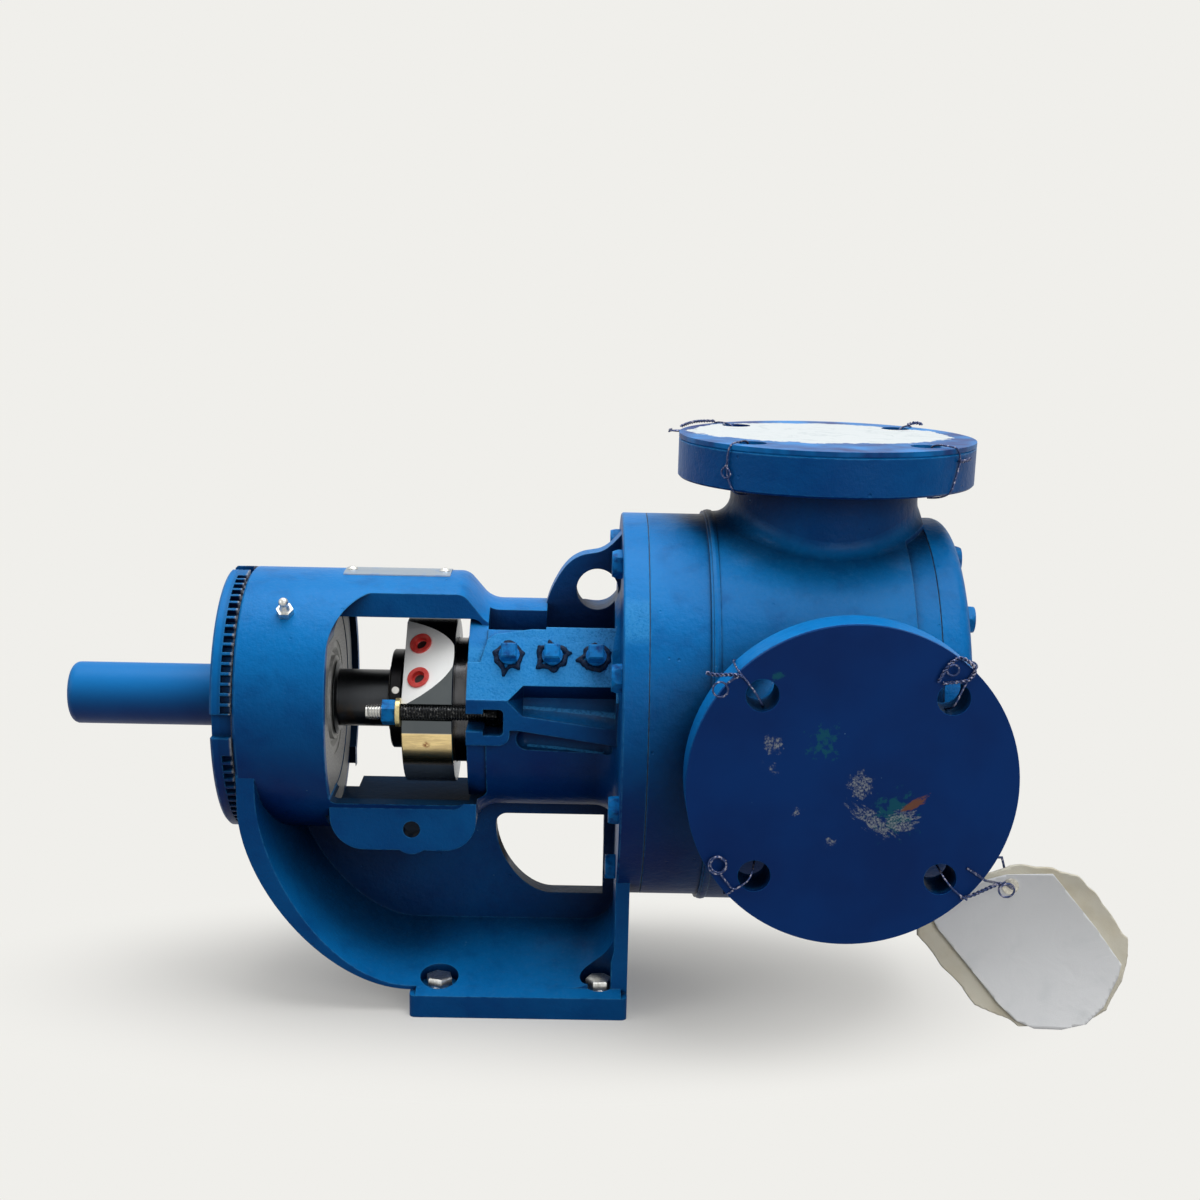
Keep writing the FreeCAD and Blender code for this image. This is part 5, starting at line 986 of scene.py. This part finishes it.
class SealOperator(bpy.types.Operator):
    """Finish the cartridge seal and what shows beside it"""

    bl_idname = "pump.seal"
    bl_label = "Finish seal"

    def execute(self, context):
        tones = colours()
        dress(["seal_gland"], gland_finish())
        dress(["seal_plugs"], seal_plug_finish())
        dress(["drive_collar"], turned_metal("collar_finish", tones.black, 0.24, metallic=0.8, edge_wear_and_highlight=0.5))
        dress(["adapter_ring"], turned_metal("adapter_finish", (0.10, 0.10, 0.105, 1.0), 0.14, edge_wear_and_highlight=0.6))
        dress(["seal_sleeve"], turned_metal("sleeve_finish", tones.dark_steel, 0.2))
        dress(["fixed_seal_face"], moulded("carbon_face", (0.040, 0.040, 0.043, 1.0), 0.3))
        dress(["turning_seal_face"], turned_metal("ground_face", tones.iron, 0.15))
        dress(["seal_bellows", "bellows_holder"], turned_metal("bellows_finish", tones.steel, 0.22))
        return {"FINISHED"}


class RunningGearOperator(bpy.types.Operator):
    """Finish the shaft, gears, bushings, bearings and their small parts"""

    bl_idname = "pump.running_gear"
    bl_label = "Finish running gear"

    def execute(self, context):
        tones = colours()
        dress(["shaft"], shaft_finish())
        dress(["rotor", "idler"], turned_metal("gear_iron", tones.iron, 0.32))
        dress(["idler_pin"], turned_metal("pin_steel", tones.steel, 0.16))
        dress(["bracket_bushing", "idler_bushing"], turned_metal("bushing_bronze", tones.bronze, 0.26))
        dress(["bearing_cups", "bearing_cones", "bearing_rollers"],
              turned_metal("race_steel", tones.steel, 0.12))
        dress(["bearing_cages"], turned_metal("cage_finish", (0.34, 0.33, 0.31, 1.0), 0.35))
        dress(["outer_spacer", "inner_spacer", "locknut", "lockwasher"],
              turned_metal("plain_steel", (0.30, 0.30, 0.31, 1.0), 0.3))
        dress(["spacer_collar", "half_rings", "inner_lip_seal"],
              turned_metal("pale_rings", (0.56, 0.56, 0.54, 1.0), 0.45, metallic=0.2))
        dress(["slinger"], turned_metal("slinger_finish", tones.dark_steel, 0.3))
        dress(["outer_lip_seal"], moulded("seal_rubber", tones.rubber, 0.5))
        dress(["bracket_gasket", "head_gasket"], moulded("gasket_finish", tones.sheet, 0.75))
        return {"FINISHED"}


class StudsOperator(bpy.types.Operator):
    """Cut real threads on the two gland studs"""

    bl_idname = "pump.studs"
    bl_label = "Gland studs"

    def execute(self, context):
        bm = bmesh.new()
        for side in (1, -1):
            stud = bmesh.new()
            thread(stud, STUD_RADIUS, sizes().thread_depth, sizes().thread_pitch, STUD_START_X, STUD_END_X)
            head = bmesh.new()
            tall = STUD_HEAD_X - STUD_END_X - WASHER_FACE
            hex_head(head, STUD_HEX, tall, Matrix.Translation((0, 0, STUD_END_X)))
            place = Matrix.Translation((0.0, STUD_Y * side, AXIS_HEIGHT + STUD_Z * side))
            for part in (stud, head):
                join(bm, part, place @ Matrix.Rotation(math.radians(90.0), 4, "Y"))
        studs = add_piece("gland_studs", mesh_of("gland_studs", bm, 28.0), stud_finish(), ROOT)
        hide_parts("gland_bolts")
        return {"FINISHED"}


class HoldDownOperator(bpy.types.Operator):
    """Put the four plated hold-down bolts in the foot"""

    bl_idname = "pump.hold_down"
    bl_label = "Hold-down bolts"

    def execute(self, context):
        finish = plated("hold_down_finish", (0.86, 0.87, 0.85, 1.0), 0.24)
        size = sizes()
        bm = bmesh.new()
        for i, (x, y) in enumerate(((-1, -1), (1, -1), (-1, 1), (1, 1))):
            one = bmesh.new()
            turn = Matrix.Rotation(math.radians(12.0 + 23.0 * i), 4, "Z")
            hex_head(one, size.bolt_across, size.bolt_head, turn)
            thread(one, size.bolt_shank, 0.6 * MM, 1.5 * MM, -FOOT_SEAT_Z + 1.5 * MM, 0.2 * MM, steps=16)
            join(bm, one, Matrix.Translation((FOOT_BOLT_X * x, FOOT_BOLT_Y * y, FOOT_SEAT_Z)))
        add_piece("hold_down_bolts", mesh_of("hold_down_bolts", bm, 28.0), finish, ROOT)
        return {"FINISHED"}


def round_noise(around, lumps, seed):
    """Noise that closes on itself over one turn."""
    return noise.noise(Vector((lumps * math.cos(around), lumps * math.sin(around), seed)))


class SealantOperator(bpy.types.Operator):
    """Squeeze a rough bead of thread sealant round each pipe plug"""

    bl_idname = "pump.sealant"
    bl_label = "Thread sealant"

    def execute(self, context):
        bm = bmesh.new()
        bead = sizes().sealant
        for number, x in enumerate(PLUG_PLACES_X):
            one = bmesh.new()
            made = bmesh.ops.create_circle(one, segments=10, radius=bead)
            stand = Matrix.Translation((7.8 * MM, 0, 0)) @ Matrix.Rotation(math.radians(90.0), 4, "X")
            bmesh.ops.transform(one, matrix=stand, verts=made["verts"])
            bmesh.ops.spin(one, geom=one.verts[:] + one.edges[:], cent=(0, 0, 0), axis=(0, 0, 1),
                           angle=2.0 * math.pi, steps=72, use_merge=True, use_normal_flip=False,
                           use_duplicate=False)
            for vert in one.verts:
                around = math.atan2(vert.co.y, vert.co.x)
                lump = round_noise(around, 1.8, 7.0 * number)
                tail = max(0.0, round_noise(around, 2.2, 11.0 * number))
                spread = 1.0 + 0.24 * lump + 1.1 * tail * tail
                vert.co.x *= spread
                vert.co.y *= spread
                vert.co.z *= 0.70 + 0.5 * lump
            tilt = Matrix.Rotation(math.radians(90.0) - PAD_TILT, 4, "X")
            lift = Matrix.Translation((x, -PAD_DISTANCE * math.cos(PAD_TILT),
                                       AXIS_HEIGHT + PAD_DISTANCE * math.sin(PAD_TILT)))
            join(bm, one, lift @ tilt)
        add_piece("thread_sealant", mesh_of("thread_sealant", bm, 80.0), sealant_finish(), ROOT)
        return {"FINISHED"}


class WiresOperator(bpy.types.Operator):
    """Twist the tie wires that hold the shipping covers"""

    bl_idname = "pump.tie_wires"
    bl_label = "Tie wires"

    def execute(self, context):
        finish = wire_finish()
        for name, wires, place in (("front_tie_wires", FRONT_WIRES, side_flange),
                                   ("top_tie_wires", TOP_WIRES, top_flange)):
            bm = bmesh.new()
            for twisted, points in wires:
                strands(bm, [place(point) for point in points], twisted)
            add_piece(name, mesh_of(name, bm, 60.0), finish, ROOT)
        dress(["tag_wire"], finish)
        return {"FINISHED"}


# Corners of the tag card and of its pouch in millimetres, across and up in the foot frame
CARD_CORNERS = ((260.6, 117.5), (293.9, 127.1), (321.9, 128.4), (349.5, 96.2), (364.9, 75.7), (363.1, 67.7),
                (354.5, 50.0), (344.4, 40.2), (329.7, 36.4), (313.6, 36.3), (302.9, 40.3), (292.2, 49.5),
                (254.9, 92.8), (249.1, 102.2))
POUCH_CORNERS = ((257.0, 119.0), (297.0, 131.0), (322.7, 131.5), (338.3, 126.2), (351.8, 112.5),
                 (368.5, 90.5), (370.0, 80.0), (366.3, 65.0), (356.5, 47.0), (341.8, 38.1), (306.0, 35.4),
                 (279.0, 47.5), (241.0, 89.7), (245.0, 107.0))
CARD_Y = -146.2 * MM
POUCH_Y = -143.2 * MM
TAG_HUNG = Vector((297.0 * MM, CARD_Y, 119.9 * MM))


def curl(point):
    """How far the hanging tag bends towards the viewer below its eyelet."""
    below = max(0.0, TAG_HUNG.z - point.z)
    aside = point.x - TAG_HUNG.x
    return -2.6 * below * below - 1.4 * aside * aside - 0.02 * below


def outlined_sheet(outline, y):
    """Fine upright sheet cut to a convex outline."""
    bm = bmesh.new()
    bmesh.ops.create_grid(bm, x_segments=76, y_segments=76, size=75 * MM)
    corners = [Vector((x * MM, y, z * MM)) for x, z in outline]
    middle = sum(corners, Vector()) / len(corners)
    stand = Matrix.Translation(middle) @ Matrix.Rotation(math.radians(90.0), 4, "X")
    bmesh.ops.transform(bm, matrix=stand, verts=bm.verts[:])
    for first, second in zip(corners, corners[1:] + corners[:1]):
        outward = (second - first).cross(Vector((0.0, 1.0, 0.0))).normalized()
        if outward.dot(middle - first) > 0.0:
            outward = -outward
        bmesh.ops.bisect_plane(bm, geom=bm.verts[:] + bm.edges[:] + bm.faces[:], plane_co=first,
                               plane_no=outward, clear_outer=True)
    return bm


def thicken(piece, thickness):
    wall = piece.modifiers.new("thickness", "SOLIDIFY")
    wall.thickness = thickness
    wall.offset = 0.0


class TagOperator(bpy.types.Operator):
    """Hang the curled blank card and its cream pouch"""

    bl_idname = "pump.tag"
    bl_label = "Tag and pouch"

    def execute(self, context):
        self.make_card()
        self.make_pouch()
        dress(["tag_eyelet"], plated("eyelet_finish", (0.60, 0.58, 0.52, 1.0), 0.3))
        return {"FINISHED"}

    def make_card(self):
        bm = outlined_sheet(CARD_CORNERS, CARD_Y)
        for vert in bm.verts:
            vert.co.y += curl(vert.co)
        card = add_piece("curled_card", mesh_of("curled_card", bm), card_finish(), TAG)
        thicken(card, sizes().card)
        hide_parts("tag_card")

    def make_pouch(self):
        bm = outlined_sheet(POUCH_CORNERS, POUCH_Y)
        for vert in bm.verts:
            fold = noise.noise(Vector((vert.co.x * 38.0, 0.0, vert.co.z * 46.0)))
            crease = noise.noise(Vector((vert.co.x * 130.0, 5.0, vert.co.z * 95.0)))
            vert.co.y += curl(vert.co) + (1.2 * fold + 0.4 * crease + 0.8) * MM
            vert.co.x += 1.4 * crease * MM
            vert.co.z += (1.6 * fold + 0.8 * crease) * MM
        bmesh.ops.smooth_vert(bm, verts=bm.verts[:], factor=0.5, use_axis_x=True, use_axis_y=True,
                              use_axis_z=True)
        pouch = add_piece("cream_pouch", mesh_of("cream_pouch", bm, 60.0), pouch_finish(), TAG)
        thicken(pouch, 2.0 * MM)
        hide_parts("tag_pouch")


OPERATORS = (StageOperator, CastingsOperator, CoversOperator, FastenersOperator, SealOperator,
             RunningGearOperator, StudsOperator, HoldDownOperator, SealantOperator, WiresOperator,
             TagOperator)


class PumpPanel(bpy.types.Panel):
    """Lists the steps that finish the pump"""

    bl_idname = "VIEW3D_PT_gear_pump"
    bl_label = "Gear Pump"
    bl_space_type = "VIEW_3D"
    bl_region_type = "UI"
    bl_category = "Gear Pump"

    def draw(self, context):
        for operator in OPERATORS:
            self.layout.operator(operator.bl_idname)


CLASSES = (PumpSizes, PumpColours) + OPERATORS + (PumpPanel,)


def register():
    for item in CLASSES:
        bpy.utils.register_class(item)
    bpy.types.Scene.pump_sizes = PointerProperty(type=PumpSizes)
    bpy.types.Scene.pump_colours = PointerProperty(type=PumpColours)


def unregister():
    del bpy.types.Scene.pump_colours
    del bpy.types.Scene.pump_sizes
    for item in reversed(CLASSES):
        bpy.utils.unregister_class(item)


def main():
    register()
    bpy.ops.pump.stage()
    bpy.ops.pump.castings()
    bpy.ops.pump.covers()
    bpy.ops.pump.fasteners()
    bpy.ops.pump.seal()
    bpy.ops.pump.running_gear()
    bpy.ops.pump.studs()
    bpy.ops.pump.hold_down()
    bpy.ops.pump.sealant()
    bpy.ops.pump.tie_wires()
    bpy.ops.pump.tag()


if __name__ == "__main__":
    main()
